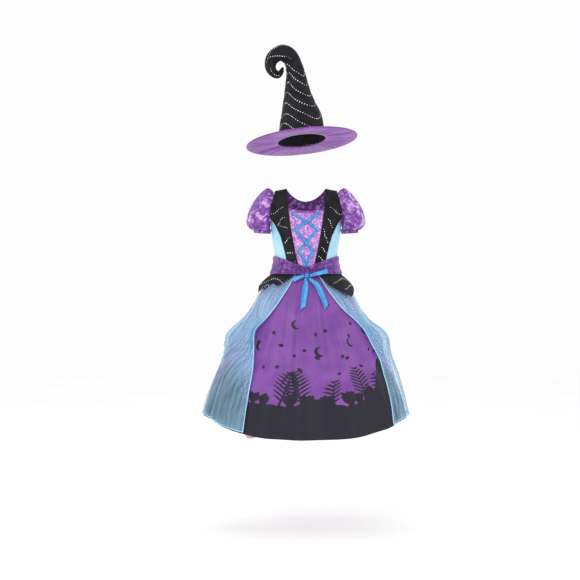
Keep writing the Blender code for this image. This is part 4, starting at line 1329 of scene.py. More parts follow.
@dataclass
class Sash:
    """Velvet sash whose gathers run together towards centre front, in two halves."""

    top_side: float = -0.2110
    top_front: float = -0.2490
    bottom: float = -0.2720
    top_out: float = 0.0052
    bottom_out: float = 0.0094
    pleats: int = 3
    pleat_depth: float = 0.0016
    gathers: int = 7
    gather_depth: float = 0.0010
    curve: float = 0.83
    cut_front: Cut = Cut(0.300, 0.085, 0.0190, Held.GATHERED)
    cut_back: Cut = Cut(0.310, 0.090, 0.0240, Held.GATHERED)

    def build(self) -> None:
        """Make the front, with its V, and the back, which is level."""
        share = np.linspace(0, 1, 56)[:, None]
        margin = TORSO.seam_angle(TORSO.half_depths[0])
        halves = (("front", 0.0, self.cut_front, 1), ("back", math.pi, self.cut_back, 2))
        for name, centre, cut, seed in halves:
            angle = centre + np.linspace(-math.pi / 2 + margin, math.pi / 2 - margin, 110)
            rise = np.abs(np.sin(angle)) ** self.curve if name == "front" else np.ones(len(angle))
            top = self.top_front + (self.top_side - self.top_front) * rise
            height = top + (self.bottom - top) * share
            pleat = 0.5 - 0.5 * np.cos(2 * math.pi * self.pleats * share)
            base = self.top_out + (self.bottom_out - self.top_out) * share**2
            drift = share * self.gathers + 0.25 * np.sin(angle * 2.2 + seed) + 0.12 * np.sin(angle * 5 + seed)
            fine = np.sin(2 * math.pi * drift) * (0.6 + 0.4 * np.sin(angle * 3 + 2 * seed))
            calm = ease(share * 8) * ease((1 - share) * 8)
            out = CLOTH + base + self.pleat_depth * pleat + self.gather_depth * fine * calm
            grid = moved_out(TORSO.point, angle, TORSO.drop(height), out)
            piece = build_piece(f"sash_{name}_cloth", grid, SASH_VELVET)
            declare(f"sash_{name}", cut)


@dataclass(frozen=True)
class HemPrint:
    """Outline of the skirt's print: a rolling border with ferns, grass, stars and moons."""

    border: float = 0.106
    ferns: int = 19
    tufts: int = 30
    stars: int = 34
    moons: int = 13
    leaves: int = 26
    seed: int = 20

    def ground(self, angle: Array, rise: Array) -> Array:
        """Distance to the border: low hills as sines, with broad mounds at the sides."""
        hills = 0.010 * np.sin(5 * angle + 1.0) + 0.007 * np.sin(11 * angle + 0.3)
        scallops = 0.0035 * np.abs(np.sin(29 * angle))
        degrees = np.degrees((angle + math.pi) % (2 * math.pi) - math.pi)
        mounds = 0.100 * bump(degrees, 63, 13) + 0.060 * bump(degrees, -62, 15)
        mounds = mounds + 0.075 * bump(np.abs(degrees), 140, 16)
        return rise - (self.border + hills + scallops + mounds)

    @staticmethod
    def frond(x: Array, y: Array, length: float, lean: float, bend: float) -> Array:
        """Distance to a fern: a tapering bent stem with paired, tapering leaflets.

        The leaflets are capsules at 50 degrees whose length follows a half sine.
        """
        s = x * math.sin(lean) + y * math.cos(lean)
        t = x * math.cos(lean) - y * math.sin(lean) - bend * np.maximum(s, 0) ** 2 / length
        found = np.maximum(np.abs(t) - (0.0030 - 0.0020 * s / length), np.maximum(-s, s - length))
        side = np.abs(t)
        count = int(length / 0.0125)
        for k in range(1, count):
            start = length * (0.14 + 0.86 * k / count)
            reach = length * 0.34 * math.sin(math.pi * (0.16 + 0.80 * k / count))
            a = (s - start) * math.cos(0.87) + side * math.sin(0.87)
            b = side * math.cos(0.87) - (s - start) * math.sin(0.87) - 0.22 * a * np.abs(a) / reach
            along = np.clip(a / reach, 0, 1)
            leaf = np.hypot(a - along * reach, b) - 0.0026 * np.sin(math.pi * (0.18 + 0.74 * along))
            found = np.minimum(found, leaf)
        return found

    @staticmethod
    def star(x: Array, y: Array, size: float) -> Array:
        """Distance to a five-pointed star, by its radius along a folded angle."""
        fold = np.abs((np.arctan2(x, y) * 5 / (2 * math.pi)) % 1 - 0.5) * 2
        return (np.hypot(x, y) - size * (0.42 + 0.58 * fold**1.5)) * 0.8

    @staticmethod
    def moon(x: Array, y: Array, size: float) -> Array:
        """Distance to a crescent: a disc with a smaller disc taken from its side."""
        return np.maximum(np.hypot(x, y) - size, 0.84 * size - np.hypot(x - 0.44 * size, y - 0.12 * size))

    @staticmethod
    def leaf(x: Array, y: Array, size: float, lean: float) -> Array:
        """Distance to a leaf: a bar whose half width follows a half sine."""
        s = (x * math.sin(lean) + y * math.cos(lean)) / size + 0.5
        t = x * math.cos(lean) - y * math.sin(lean)
        wide = 0.26 * size * np.sin(np.clip(s, 0, 1) * math.pi)
        return np.maximum(np.abs(t) - wide, np.maximum(-s, s - 1) * size)

    def distance(self, angle: Array, rise: Array, reach: Array) -> Array:
        """Signed distance to the print's outline, below zero in the ink.

        Args:
            angle: Angle from centre front at each point.
            rise: Height above the hem along the cloth.
            reach: Distance from the skirt's axis.

        Returns:
            Distance in metres, each motif laid out flat at its own place.
        """
        draw = np.random.default_rng(self.seed)
        found = self.ground(angle, rise)

        def add(degrees: float, base: float, size: float, motif: Callable, *more: float) -> None:
            """Add a motif where it stands, worked out only near it."""
            nonlocal found
            away = (angle - math.radians(degrees) + math.pi) % (2 * math.pi) - math.pi
            x, y = away * reach, rise - base
            near = (np.abs(x) < size * 1.3) & (np.abs(y) < size * 1.4)
            found = np.where(near, np.minimum(found, motif(x, y, size, *more)), found)

        for k in range(self.ferns):
            degrees = (k + draw.uniform(-0.22, 0.22)) * 360 / self.ferns
            length = draw.uniform(0.085, 0.175)
            lean, bend = draw.uniform(-0.3, 0.3), draw.uniform(-0.35, 0.35)
            add(degrees, self.border * 0.85, length, self.frond, lean, bend)
        for k in range(self.tufts):
            degrees = (k + draw.uniform(-0.35, 0.35)) * 360 / self.tufts
            for lean in (-0.55, -0.2, 0.15, 0.5):
                size = draw.uniform(0.030, 0.055)
                base = self.border + size * 0.30
                add(degrees + lean * 2.4, base, size, self.leaf, lean + draw.uniform(-0.1, 0.1))
        for k in range(self.stars):
            degrees = (k + draw.uniform(-0.3, 0.3)) * 360 / self.stars
            add(degrees, draw.uniform(0.20, 0.38), draw.uniform(0.0075, 0.0115), self.star)
        for k in range(self.moons):
            degrees = (k + 0.4 + draw.uniform(-0.25, 0.25)) * 360 / self.moons
            add(degrees, draw.uniform(0.24, 0.36), draw.uniform(0.012, 0.017), self.moon)
        for k in range(self.leaves):
            degrees = (k + 0.5 + draw.uniform(-0.3, 0.3)) * 360 / self.leaves
            base, size = draw.uniform(0.20, 0.33), draw.uniform(0.014, 0.020)
            add(degrees, base, size, self.leaf, draw.uniform(-1.5, 1.5))
        return found


@dataclass
class Skirt:
    """Printed satin skirt in two halves, with soft uneven folds and a turned hem."""

    columns: int = 230
    rows: int = 156
    hem_fold: float = 0.010
    hem_proud: float = 0.0006
    waist_gathers: int = 74
    waist_depth: float = 0.0005
    fold_depth: float = 0.0044
    crease_depth: float = 0.0016
    creases: tuple = (
        (-24.0, 0.30, 0.16, 2.0), (-9.0, 0.38, 0.22, 1.8), (-4.0, 0.44, 0.20, 1.6),
        (15.0, 0.42, 0.24, 2.2), (29.0, 0.60, 0.26, 2.4), (-36.0, 0.66, 0.26, 2.6),
        (148.0, 0.34, 0.22, 2.2), (164.0, 0.48, 0.26, 2.0), (181.0, 0.40, 0.24, 1.8),
        (197.0, 0.55, 0.26, 2.2), (214.0, 0.36, 0.20, 2.4),
    )
    cut: Cut = Cut(0.900, 0.560, 0.3400, Held.GATHERED)
    hem_print: HemPrint = HemPrint()

    def soft(self, angle: Array, down: Array) -> Array:
        """Height of the small forms: waist gathers, fine folds and creases placed one by one."""
        gathers = np.cos(self.waist_gathers * angle + 2 * np.sin(5 * angle))
        waist = -self.waist_depth * (0.5 + 0.5 * gathers)
        waist = waist * ease((0.16 - down) / 0.14)
        folds = self.fold_depth * rumple(angle * 2.3, down * 0.5, 51) * ease((down - 0.12) / 0.4)
        total = waist * ease(down * 20) + folds
        for degrees, fall, spread, size in self.creases:
            away = np.degrees((angle - math.radians(degrees) + math.pi) % (2 * math.pi) - math.pi)
            ridge = bump(away, 0.0, 1.7) - 0.55 * bump(away, 3.2, 2.2)
            total = total + self.crease_depth * size * ridge * bump(down, fall, spread) * ease(down * 6)
        return total

    def build(self) -> None:
        """Make both halves; the hem's turned edge stands a little proud."""
        down = np.linspace(0, 1, self.rows)[:, None] ** 0.92
        margin = SEAM_GAP / 2 / BELL.half_depths[-1]
        hem_at = 1 - self.hem_fold / (BELL.waist - BELL.hem)
        for name, centre in (("front", 0.0), ("back", math.pi)):
            angle = centre + np.linspace(-1, 1, self.columns) * (math.pi / 2 - margin)
            hem = self.hem_proud * ease((down - hem_at) * 300)
            grid = moved_out(BELL.point, angle, down, CLOTH + self.soft(angle, down) + hem)
            length = cloth_lengths(grid)[1]
            reach = np.linalg.norm(grid[..., :2], axis=-1)
            outline = self.hem_print.distance(angle + 0 * down, length[-1] - length, reach)
            values = {"print_distance": outline}
            piece = build_piece(f"skirt_{name}_cloth", grid, SKIRT_SATIN, values=values)
            declare(f"skirt_{name}", self.cut)


@dataclass
class Underskirt:
    """Straight pink lining skirt that shows below the lifted side, in two halves."""

    heights: tuple = (-0.2640, -0.3000, -0.4000, -0.5200, -0.6500, -0.7740)
    half_widths: tuple = (0.1038, 0.1100, 0.1420, 0.1700, 0.1920, 0.2060)
    half_depths: tuple = (0.0824, 0.0880, 0.1180, 0.1400, 0.1560, 0.1660)
    fold_depths: tuple = (0.0000, 0.0010, 0.0030, 0.0045, 0.0060, 0.0070)
    folds: int = 9
    soft_depth: float = 0.0012
    dip: float = 0.013
    dip_at: tuple = (-62.0, 14.0)
    cut: Cut = Cut(0.600, 0.530, 0.2500, Held.GATHERED)

    def point(self, angle: Array, fall: Array) -> Array:
        """Point of the outer face: an oval with folds that go inwards, to a level hem."""
        heights = np.array(self.heights)
        falls = (heights[0] - heights) / (heights[0] - heights[-1])
        fold = -smooth(fall, falls, self.fold_depths) * Bell.wave(angle, self.folds)
        wide = smooth(fall, falls, self.half_widths) + fold
        deep = smooth(fall, falls, self.half_depths) + fold
        height = heights[0] - fall * (heights[0] - heights[-1])
        return stack(wide * np.sin(angle), -deep * np.cos(angle), height)

    def build(self) -> None:
        """Make both halves."""
        down = np.linspace(0, 1, 50)[:, None]
        margin = SEAM_GAP / 2 / self.half_depths[-1]
        for name, centre in (("front", 0.0), ("back", math.pi)):
            angle = centre + np.linspace(-1, 1, 80) * (math.pi / 2 - margin)
            soft = -self.soft_depth * (1 + rumple(angle * 3, down * 0.7, 61)) * ease(down * 3) * 0.7
            grid = moved_out(self.point, angle, down, soft)
            dips = self.dip * bump(np.degrees(angle), *self.dip_at) * ease(down * 3 - 2)
            grid[..., 2] -= dips
            piece = build_piece(f"underskirt_{name}_cloth", grid, LINING, wall=0.0008)
            declare(f"underskirt_{name}", self.cut)


@dataclass
class Overskirt:
    """Two sheer organza panels, drawn in halfway down, with a rolled shiny edge."""

    falls: tuple = (0.00, 0.13, 0.22, 0.32, 0.42, 0.52, 0.62, 0.75, 1.00)
    left_degrees: tuple = (17.0, 26.0, 35.0, 45.0, 51.5, 45.5, 41.0, 39.0, 37.5)
    right_degrees: tuple = (19.0, 29.0, 41.0, 54.0, 62.5, 63.0, 65.0, 62.0, 56.0)
    start: float = 0.008
    end: float = 0.990
    standoff: float = 0.006
    fold_depth: float = 0.008
    puff: float = 0.014
    puff_degrees: float = 96.0
    puff_width: float = 24.0
    puff_fall: float = 0.66
    puff_spread: float = 0.20
    pinch_fall: float = 0.44
    pinch_spread: float = 0.15
    lines: int = 17
    line_crowding: tuple = (1.25, 1.35)
    standoff_growth: float = 2.5
    fold_growth: float = 1.6
    crumple: float = 0.0012
    cover_range: tuple = (0.10, 0.85)
    wall: float = 0.0004
    edge_radius: float = 0.0015
    cut: Cut = Cut(0.620, 0.560, 0.2650, Held.GATHERED)

    def grid(self, side: float) -> tuple[Array, Array]:
        """Panel from its front edge round to centre back, and its density.

        Fold lines run at a share of the width raised to a power, which grows at the
        pinch, so the lines crowd towards the front edge there and fan out above and
        below it.

        Args:
            side: -1 for the viewer's left, 1 for the right.

        Returns:
            Points of the outer face and the density of the cloth at each.
        """
        down = np.linspace(self.start, self.end, 110)[:, None]
        edge = smooth(down, self.falls, self.left_degrees if side < 0 else self.right_degrees)
        first = np.radians(edge)
        last = math.pi - SEAM_GAP / BELL.half_widths[0]
        share = np.linspace(0, 1, 150)
        pinch = bump(down, self.pinch_fall, self.pinch_spread)
        spread = share ** (self.line_crowding[0] + self.line_crowding[1] * pinch)
        angle = first + (last - first) * spread
        seed = 71 if side < 0 else 73
        sway = 0.35 * np.sin(share * 9 + seed)
        lines = share * self.lines + sway + 0.10 * rumple(share * 3, down * 2, seed)
        wave = 0.5 + 0.5 * np.sin(2 * math.pi * lines)
        uneven = 0.65 + 0.35 * np.sin(share * 23 + seed)
        out = CLOTH + LAYER_GAP + self.wall + self.standoff * np.clip(down * self.standoff_growth, 0, 1)
        folds = self.fold_depth * wave * uneven * np.clip(down * self.fold_growth, 0, 1)
        out = out + folds * (1 + 0.3 * pinch)
        out = out + self.crumple * rumple(share * 12, down * 5, seed + 1) * np.clip(down * 2, 0, 1)
        if side > 0:
            puff = bump(np.degrees(angle), self.puff_degrees, self.puff_width)
            out = out + self.puff * puff * bump(down, self.puff_fall, self.puff_spread)
        grid = moved_out(BELL.point, side * angle, down, out)
        close = np.exp(-share * 9) * (0.35 + 0.65 * pinch)
        density = 0.19 + 0.20 * (1 - wave) ** 2 * uneven + 0.34 * close + 0.16 * wave**6
        density = density * (1 - 0.38 * ease((down - 0.5) / 0.25)) + 0.12 * ease((down - 0.95) * 20)
        density = density + 0.16 * pinch * (1 - share)
        density = np.clip(density + 0.05 * rumple(share * 5, down * 3, seed + 2), *self.cover_range)
        if side > 0:
            return grid, density
        return grid[:, ::-1], density[:, ::-1]

    def build(self) -> None:
        """Make both panels and the rolled edges down their fronts and along their hems."""
        for name, side in (("left", -1.0), ("right", 1.0)):
            grid, density = self.grid(side)
            front = grid[:, -1] if side < 0 else grid[:, 0]
            inner = grid[:, -2] if side < 0 else grid[:, 1]
            hem = grid[-1, ::-1] if side < 0 else grid[-1]
            above = grid[-2, ::-1] if side < 0 else grid[-2]
            path = np.concatenate([front[:-1], hem])
            outward = np.concatenate([(front - inner)[:-1], hem - above])
            rolled = edge_strip(f"overskirt_{name}_edge", path, outward, self.edge_radius, EDGING)
            piece = build_piece(
                f"overskirt_{name}_cloth", grid, SHEER, wall=self.wall, values={"sheer_cover": density}
            )
            declare(f"overskirt_{name}", self.cut)


@dataclass
class Peplum:
    """Black flaps with pointed lower edges at the hips, each with rows of dots."""

    left: tuple = (
        (19.0, 0.010), (29.0, 0.028), (39.0, 0.046), (50.0, 0.034), (59.0, 0.044), (69.0, 0.068),
        (80.0, 0.050), (95.0, 0.038), (115.0, 0.056), (135.0, 0.034), (155.0, 0.014),
    )
    right: tuple = (
        (21.0, 0.012), (29.0, 0.044), (42.0, 0.060), (56.0, 0.082), (68.0, 0.068),
        (80.0, 0.052), (95.0, 0.044), (115.0, 0.060), (135.0, 0.036), (155.0, 0.014),
    )
    top: float = -0.2680
    top_out: float = 0.0038
    flare: float = 0.016
    flare_at: float = 0.080
    flare_curve: float = 0.8
    wall: float = 0.0015
    shell: float = 0.0012
    cut_left: Cut = Cut(0.330, 0.085, 0.0133)
    cut_right: Cut = Cut(0.330, 0.085, 0.0168)
    rows_left: tuple = (
        (79, 29, 0.041, 0.017), (66, 50, 0.052, 0.008),
        (96, 128, 0.036, 0.014), (104, 124, 0.047, 0.006),
    )
    rows_right: tuple = (
        (35, 84, 0.040, 0.017), (50, 86, 0.058, 0.012),
        (96, 130, 0.036, 0.014), (104, 126, 0.050, 0.006),
    )
    dot_gap: float = 0.0080
    dot_size: float = 0.0017

    def outer(self, side: float) -> Surface:
        """Outer face of a flap: it stands further off the skirt the lower it hangs."""
        length = BELL.waist - BELL.hem

        def place(degrees: Array, drop: Array) -> Array:
            """Point at an angle and a drop below the flap's top."""
            down = (BELL.waist - self.top + drop) / length
            curl = 0.0006 * rumple(degrees / 24, drop * 14, 81)
            flare = self.flare * (np.maximum(drop, 0) / self.flare_at) ** self.flare_curve
            out = self.top_out + flare + self.wall
            return moved_out(BELL.point, side * np.radians(degrees), down, out + curl * ease(drop * 60))

        return place

    def build(self) -> None:
        """Make both flaps with their dots."""
        halves = (
            ("left", -1.0, self.left, self.rows_left, self.cut_left),
            ("right", 1.0, self.right, self.rows_right, self.cut_right),
        )
        for name, side, table, rows, cut in halves:
            knots, drops = np.array(table).T
            degrees = np.unique(np.concatenate([np.linspace(knots[0], knots[-1], 150), knots]))
            share = np.linspace(0, 1, 36)[:, None]
            outer = self.outer(side)
            grid = outer(degrees + 0 * share, np.interp(degrees, knots, drops) * share)
            grid = grid if side > 0 else grid[:, ::-1]
            found = []
            for first, last, drop, arch in rows:
                t = np.linspace(0, 1, 60)
                path = drop - arch * np.sin(math.pi * t) + 0.003 * np.sin(2 * math.pi * t)
                across = first + (last - first) * t
                found.append(row_on(outer, across, path, side, self.dot_gap, self.dot_size))
            dots = build_dots(f"peplum_{name}_dots", found, 83 if side < 0 else 87)
            piece = build_piece(f"peplum_{name}_cloth", grid, DOTTED, wall=self.shell)
            declare(f"peplum_{name}", cut)


@dataclass(frozen=True)
class Loop:
    """One loop of the bow."""

    side: float
    length: float
    width: float
    half_gap: float
    tilt: float
    drift: float


@dataclass
class Bow:
    """Satin ribbon bow at the waist: a knot, two loops and two hanging tails."""

    knot: tuple = (0.0020, -0.0992, -0.2750)
    knot_half: tuple = (0.0070, 0.0050, 0.0075)
    clearance: float = 0.0004
    pinch: float = 0.62
    at_knot: float = 0.45
    open_share: float = 0.002
    loops: tuple = (
        ("right", Loop(1.0, 0.058, 0.0150, 0.0045, 15.0, 0.10)),
        ("left", Loop(-1.0, 0.036, 0.0140, 0.0040, -20.0, -0.10)),
    )
    tails: tuple = (
        ("left", (-0.0015, -0.0030, -0.0070, -0.0110), (-0.2884, -0.3150, -0.3450, -0.3790)),
        ("right", (0.0070, 0.0310, 0.0480, 0.0600), (-0.2886, -0.3080, -0.3420, -0.3750)),
    )
    tail_width: float = 0.0140
    tail_top: float = 0.0065
    tail_slant: float = 0.009
    out_top: float = 0.0080
    out_end: float = 0.0045
    loop_cut: Cut = Cut(0.125, 0.015, 0.00180, Held.FOLDED)
    short_cut: Cut = Cut(0.080, 0.014, 0.00105, Held.FOLDED)
    tail_cut: Cut = Cut(0.125, 0.016, 0.00185, Held.HUNG)

    def build(self) -> None:
        """Make the knot, the loops and the tails."""
        self.build_knot()
        for name, loop in self.loops:
            piece = build_piece(f"bow_loop_{name}_ribbon", self.loop_grid(loop), BOW_RIBBON, 0.0007, 0.0)
            declare(f"bow_loop_{name}", self.loop_cut if name == "right" else self.short_cut)
        for name, xs, heights in self.tails:
            piece = build_piece(f"bow_tail_{name}_ribbon", self.tail_grid(xs, heights), BOW_RIBBON, 0.0006)
            declare(f"bow_tail_{name}", self.tail_cut)

    def build_knot(self) -> None:
        """Knot: a squared ball of ribbon with three soft tucks down its front."""
        rise = np.linspace(math.pi / 2, -math.pi / 2, 34)[1:-1, None]
        turn = np.arange(64) / 64 * 2 * math.pi
        tucks = 1 + 0.05 * np.cos(turn * 12 + 2 * rise) * np.cos(rise)
        x = self.knot_half[0] * powered(np.cos(rise), 0.55) * powered(np.sin(turn), 0.7) * tucks
        y = -self.knot_half[1] * powered(np.cos(rise), 0.55) * powered(np.cos(turn), 0.7) * tucks
        z = self.knot_half[2] * powered(np.sin(rise), 0.75) + 0 * turn
        centre = np.array(self.knot)
        pole = np.array([0.0, 0.0, self.knot_half[2]])
        piece = build_piece(
            "bow_knot_ribbon",
            stack(x, y, z) + centre,
            BOW_RIBBON,
            wall=0.0,
            ring=True,
            tips=(centre + pole, centre - pole),
        )
        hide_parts("bow_knot")

    def loop_grid(self, loop: Loop) -> Array:
        """Ribbon that runs out from the knot, turns and comes back in front of itself."""
        turn = np.linspace(self.open_share, 1 - self.open_share, 56) * math.pi
        tilt = math.radians(loop.tilt)
        reach = np.array([loop.side * math.cos(tilt), loop.drift, math.sin(tilt)])
        rise = np.array([-loop.side * math.sin(tilt), 0.0, math.cos(tilt)])
        clear = self.knot_half[0] + self.clearance + self.pinch * loop.width / 2 * abs(math.sin(tilt))
        start = np.array(self.knot) + np.array([loop.side * clear, 0.0, 0.0])
        along = np.sin(turn)[:, None, None] * loop.length * reach
        opening = loop.half_gap * (self.at_knot + (1 - self.at_knot) * np.sin(turn))
        depth = (np.cos(turn) * opening)[:, None, None] * np.array([0.0, 1.0, 0.0])
        wide = loop.width * (self.pinch + (1 - self.pinch) * np.sin(turn))
        share = np.linspace(0.5, -0.5, 11)
        tuck = 0.0006 * np.cos(share * 4 * math.pi)[None] * (1 - np.sin(turn))[:, None]
        breadth = (wide[:, None] * share)[..., None] * rise
        return start + along + depth + breadth + tuck[..., None] * np.array([0.0, 1.0, 0.0])

    def tail_grid(self, xs: tuple, heights: tuple) -> Array:
        """Tail that lies on the skirt front and ends on a slant, with a light twist."""
        at = np.linspace(0, len(xs) - 1, 44)
        knots = np.arange(len(xs))
        path = np.stack([smooth(at, knots, xs), smooth(at, knots, heights)], axis=1)
        width = smooth(at, (0, 0.375, 0.75, 3), (self.tail_top, 0.0102, self.tail_width, self.tail_width))

        def on_skirt(x: Array, height: Array) -> Array:
            """Put x and height on the skirt front, a little off it."""
            fall = BELL.fall(height)
            out = self.out_top + (self.out_end - self.out_top) * (at / at[-1])[:, None] + RIBBON
            sway = 0.0008 * np.sin(at * 2.1)[:, None] * np.linspace(-1, 1, x.shape[1])
            angle = np.arcsin(x / BELL.half_width(fall))
            return moved_out(BELL.point, angle, fall, out + sway * (at / at[-1])[:, None])

        return ribbon_grid(path, width, on_skirt, slant=-self.tail_slant)


@dataclass
class Hat:
    """Pointed hat: a soft black cone with a curled tip on a stiffened satin brim."""

    centre: tuple = (-0.0138, 0.0000, 0.1606)
    lean_back: float = 7.5
    roll: float = 6.2
    roll_fade: float = 0.06
    brim_radius: float = 0.1770
    brim_droop: float = 0.004
    board: float = 0.0030
    rim_radius: float = 0.0019
    xs: tuple = (
        0.0000, 0.0000, -0.0020, -0.0075, -0.0115, -0.0150, -0.0195, -0.0250, -0.0330,
        -0.0450, -0.0600, -0.0790, -0.0960, -0.0995, -0.0905, -0.0770, -0.0650, -0.0610,
    )
    zs: tuple = (
        0.0000, 0.0380, 0.0730, 0.1080, 0.1430, 0.1800, 0.2200, 0.2440, 0.2680,
        0.2810, 0.2860, 0.2810, 0.2630, 0.2400, 0.2220, 0.2150, 0.2250, 0.2370,
    )
    half_widths: tuple = (
        0.0780, 0.0725, 0.0664, 0.0556, 0.0460, 0.0378, 0.0300, 0.0272, 0.0262,
        0.0275, 0.0282, 0.0237, 0.0215, 0.0175, 0.0144, 0.0126, 0.0080, 0.0042,
    )
    half_depths: tuple = (
        0.0860, 0.0770, 0.0680, 0.0560, 0.0460, 0.0370, 0.0290, 0.0260, 0.0240,
        0.0230, 0.0220, 0.0200, 0.0180, 0.0150, 0.0125, 0.0105, 0.0072, 0.0042,
    )
    tip_length: float = 0.003
    row_heights: tuple = (0.010, 0.047, 0.084, 0.121, 0.158, 0.195, 0.226)
    wave_drop: float = 0.033
    dot_size: float = 0.0018
    small_dot: float = 0.0016
    small_above: float = 0.2
    crumple: float = 0.0010
    dent: float = 0.0011
    dent_at: tuple = (0.275, 0.045)
    brim_crease: float = 0.0030
    brim_creases: float = 7.5
    curl_gap: float = 0.0076
    curl_size: float = 0.0017
    cone_cut: Cut = Cut(0.520, 0.470, 0.1000)
    brim_cut: Cut = Cut(0.360, 0.360, 0.0780, Held.STRETCHED)

    def placed(self, points: Array) -> Array:
        """Put points of the hat's own frame where the hat sits, leaning back."""
        lean = np.array(Matrix.Rotation(-math.radians(self.lean_back), 3, "X"))
        return points @ lean.T + np.array(self.centre)

    @property
    def length(self) -> Array:
        """Distances along the centre line of its rows."""
        step = np.hypot(np.diff(self.xs), np.diff(self.zs))
        return np.concatenate([[0], np.cumsum(step)])

    def cone(self, turn: Array, at: Array) -> Array:
        """Point of the outer face: an oval square to the centre line at a length along it.

        Args:
            turn: Angle round the cone, 0 at the front and rising to the viewer's right.
            at: Length along the centre line from the brim.

        Returns:
            Points with the crumples of the soft cloth.
        """
        chord = self.length
        knots = np.linspace(0, chord[-1], 240)
        x, z = smooth(knots, chord, self.xs), smooth(knots, chord, self.zs)
        heading = np.unwrap(np.arctan2(np.gradient(x, knots), np.gradient(z, knots)))
        faded = np.clip(1 - knots / self.roll_fade, 0, 1)
        heading += (-math.radians(self.roll) - heading[0]) * faded
        heading = np.interp(at, knots, heading)
        x, z = np.interp(at, knots, x), np.interp(at, knots, z)
        along = at / chord[-1]
        crumple = rumple(np.sin(turn) * 0.9 + along * 3.5, np.cos(turn) * 0.9, 91)
        crumple = self.crumple * crumple * ease(along * 6)
        dents = self.dent * np.sin(at * 330 + 1.4 * np.sin(turn)) * bump(at, *self.dent_at)
        dents = dents * (0.5 - 0.5 * np.sin(turn))
        grown = (crumple + dents) * ease((1 - along) * 5)
        wide = smooth(at, chord, self.half_widths) + grown
        deep = smooth(at, chord, self.half_depths) + grown
        px = x + wide * np.sin(turn) * np.cos(heading)
        pz = z - wide * np.sin(turn) * np.sin(heading)
        return self.placed(stack(px, -deep * np.cos(turn), pz))

    def build(self) -> None:
        """Make the cone with its dots and the brim with its rolled rim."""
        total = self.length[-1]
        turn = np.arange(96) / 96 * 2 * math.pi
        at = np.linspace(1, 0, 150)[:, None] ** 0.9 * total
        grid = self.cone(turn, at)
        last = grid[0].mean(axis=0)
        forward = last - grid[3].mean(axis=0)
        tip = last + forward / np.linalg.norm(forward) * self.tip_length
        dots = build_dots("hat_dots", self.rows(), 93)
        piece = build_piece("hat_cone_cloth", grid, DOTTED, ring=True, tips=(tip, None))
        declare("hat_cone", self.cone_cut)
        self.brim()

    def rows(self) -> list[DotRow]:
        """Rows of dots: waves round the cone, and rows that run along the curl."""
        found = []
        for height in self.row_heights:
            turn = np.linspace(-math.pi, math.pi, 240)
            wave = self.wave_drop * (1 - ease(height / 0.30) * 0.35)
            at = height + wave * np.cos(2 * (turn + math.radians(55))) + 0.003 * np.sin(5 * turn)
            keep = at > 0.004
            for part in np.split(np.arange(len(turn)), np.flatnonzero(np.diff(keep.astype(int))) + 1):
                if keep[part[0]] and len(part) > 8:
                    size = self.dot_size if height < self.small_above else self.small_dot
                    found.append(row_on(self.cone, turn[part], at[part], flip=-1.0, size=size))
        curl = (
            ((62, 60, 50, 40), (0.250, 0.290, 0.330, 0.352)),
            ((-8, -28, -35, -22, 30, 62), (0.262, 0.285, 0.305, 0.330, 0.352, 0.374)),
            ((10, 20, 30, 40), (0.378, 0.392, 0.404, 0.414)),
            ((170, 165, 150, 140), (0.255, 0.290, 0.330, 0.360)),
            ((-150, -160, -170, -180), (0.265, 0.300, 0.335, 0.365)),
        )
        for degrees, lengths in curl:
            t = np.linspace(0, len(degrees) - 1, 80)
            knots = np.arange(len(degrees))
            turn = np.radians(smooth(t, knots, degrees))
            at = smooth(t, knots, lengths)
            found.append(row_on(self.cone, turn, at, -1.0, self.curl_gap, self.curl_size))
        return found

    def brim(self) -> None:
        """Round brim, 3 mm thick, its satin drawn into radial creases under the rim."""
        turn = np.arange(200) / 200 * 2 * math.pi
        share = np.linspace(0, 1, 26)[:, None]
        hole = (self.half_widths[0] - CLOTH, self.half_depths[0] - CLOTH)
        across = hole[0] + (self.brim_radius - hole[0]) * share
        deep = hole[1] + (self.brim_radius - hole[1]) * share
        around, other = np.sin(turn) * self.brim_creases, np.cos(turn) * self.brim_creases
        lines = rumple(around, other + share * 0.3, 95, 12)
        crease = -self.brim_crease * (0.5 + 0.5 * lines) * ease(share * 6) * ease((1 - share) * 5)
        height = -SEAM_GAP - self.brim_droop * share**2 + crease
        flat = stack(across * np.sin(turn), -deep * np.cos(turn), height)
        tilt = np.array(Matrix.Rotation(-math.radians(self.roll), 3, "Y"))
        grid = self.placed(flat @ tilt.T)
        around = turn + math.pi
        around = np.append(around, around[0] + 2 * math.pi)
        rim = stack(
            self.brim_radius * np.sin(around),
            -self.brim_radius * np.cos(around),
            np.full(len(around), -SEAM_GAP - self.brim_droop - self.board / 2),
        )
        outward = stack(np.sin(around), -np.cos(around), 0 * around) @ tilt.T
        path = self.placed(rim @ tilt.T)
        roll = edge_strip("hat_brim_rim", path, outward, self.rim_radius, BRIM_SATIN)
        piece = build_piece("hat_brim_cloth", grid, BRIM_SATIN, wall=self.board, ring=True)
        declare("hat_brim", self.brim_cut)


@dataclass(frozen=True)
class Lamp:
    """A soft square studio light."""

    name: str
    place: tuple
    aim: tuple
    size: float
    power: float


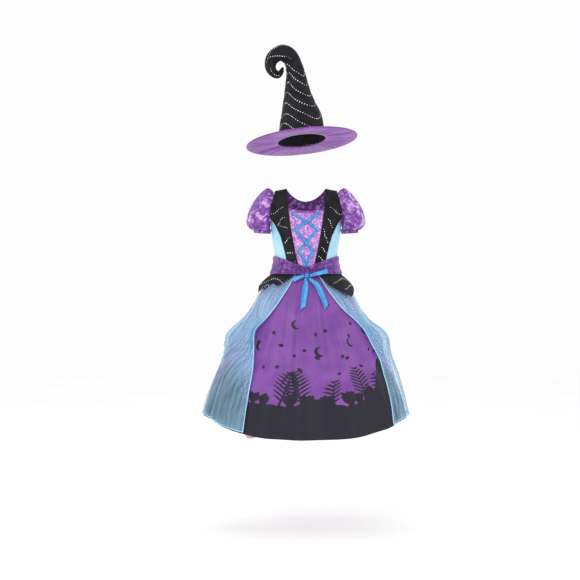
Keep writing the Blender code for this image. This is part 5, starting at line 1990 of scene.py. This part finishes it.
@dataclass
class Studio:
    """Pale floor, soft lights and the camera, level and straight in front."""

    floor_height: float = -1.078
    floor_radius: float = 9.0
    camera_place: tuple = (-0.051, -4.5, -0.320)
    view_width: float = 1.856
    sensor: float = 36.0
    lamps: tuple = (
        Lamp("key", (-1.5, -3.4, 1.7), (0.0, 0.0, -0.25), 1.6, 42.0),
        Lamp("fill", (2.4, -3.2, 0.4), (0.0, 0.0, -0.3), 2.6, 14.0),
        Lamp("left_rim", (-2.6, 1.6, 0.8), (0.0, 0.0, -0.3), 1.8, 12.0),
        Lamp("right_rim", (2.6, 1.6, 0.8), (0.0, 0.0, -0.3), 1.8, 12.0),
    )

    def build(self) -> None:
        """Set the camera, lamps, world and floor."""
        scene = bpy.context.scene
        scene.view_settings.view_transform = "Standard"
        camera = bpy.data.objects.new("camera", bpy.data.cameras.new("camera"))
        scene.collection.objects.link(camera)
        camera.location = self.camera_place
        camera.rotation_euler = (math.pi / 2, 0.0, 0.0)
        camera.data.sensor_width = self.sensor
        camera.data.lens = self.sensor * -self.camera_place[1] / self.view_width
        scene.camera = camera
        for lamp in self.lamps:
            light = bpy.data.lights.new(lamp.name, "AREA")
            light.size = lamp.size
            light.energy = lamp.power
            holder = bpy.data.objects.new(lamp.name, light)
            scene.collection.objects.link(holder)
            holder.location = lamp.place
            away = Vector(lamp.aim) - Vector(lamp.place)
            holder.rotation_euler = away.to_track_quat("-Z", "Y").to_euler()
        world = bpy.data.worlds.new("white_studio")
        world.use_nodes = True
        background = world.node_tree.nodes["Background"]
        background.inputs["Color"].default_value = linear("FDFDFD")
        background.inputs["Strength"].default_value = 1.0
        scene.world = world
        self.floor()

    def floor(self) -> None:
        """Matt white vinyl floor, a round sheet worked out on rings."""
        rings, sides = 12, 64
        turn = np.arange(sides) / sides * 2 * math.pi
        reach = np.linspace(self.floor_radius, 0.01, rings)[:, None]
        grid = stack(reach * np.sin(turn), -reach * np.cos(turn), self.floor_height)
        points = np.vstack([grid.reshape(-1, 3), [0.0, 0.0, self.floor_height]])
        quads = grid_faces(rings, sides, True)[0].tolist()
        last = (rings - 1) * sides
        fan = [
            (len(points) - 1, last + (place + 1) % sides, last + place) for place in range(sides)
        ]
        mesh = bpy.data.meshes.new("floor")
        mesh.from_pydata(points.tolist(), [], [face[::-1] for face in quads + fan])
        mesh.materials.append(FLOOR.material())
        floor = bpy.data.objects.new("floor", mesh)
        bpy.context.scene.collection.objects.link(floor)


def main() -> None:
    """Build every part of the costume and the studio, in order."""
    logging.basicConfig(level=logging.INFO, format="%(name)s: %(message)s")
    parts = (
        Studio(), Bodice(), Lapels(), Lacing(), Sleeves(), Sash(), Underskirt(), Skirt(),
        Overskirt(), Peplum(), Bow(), Hat(),
    )
    for part in parts:
        part.build()
        LOG.info("%s built", type(part).__name__)


if __name__ == "__main__":
    main()
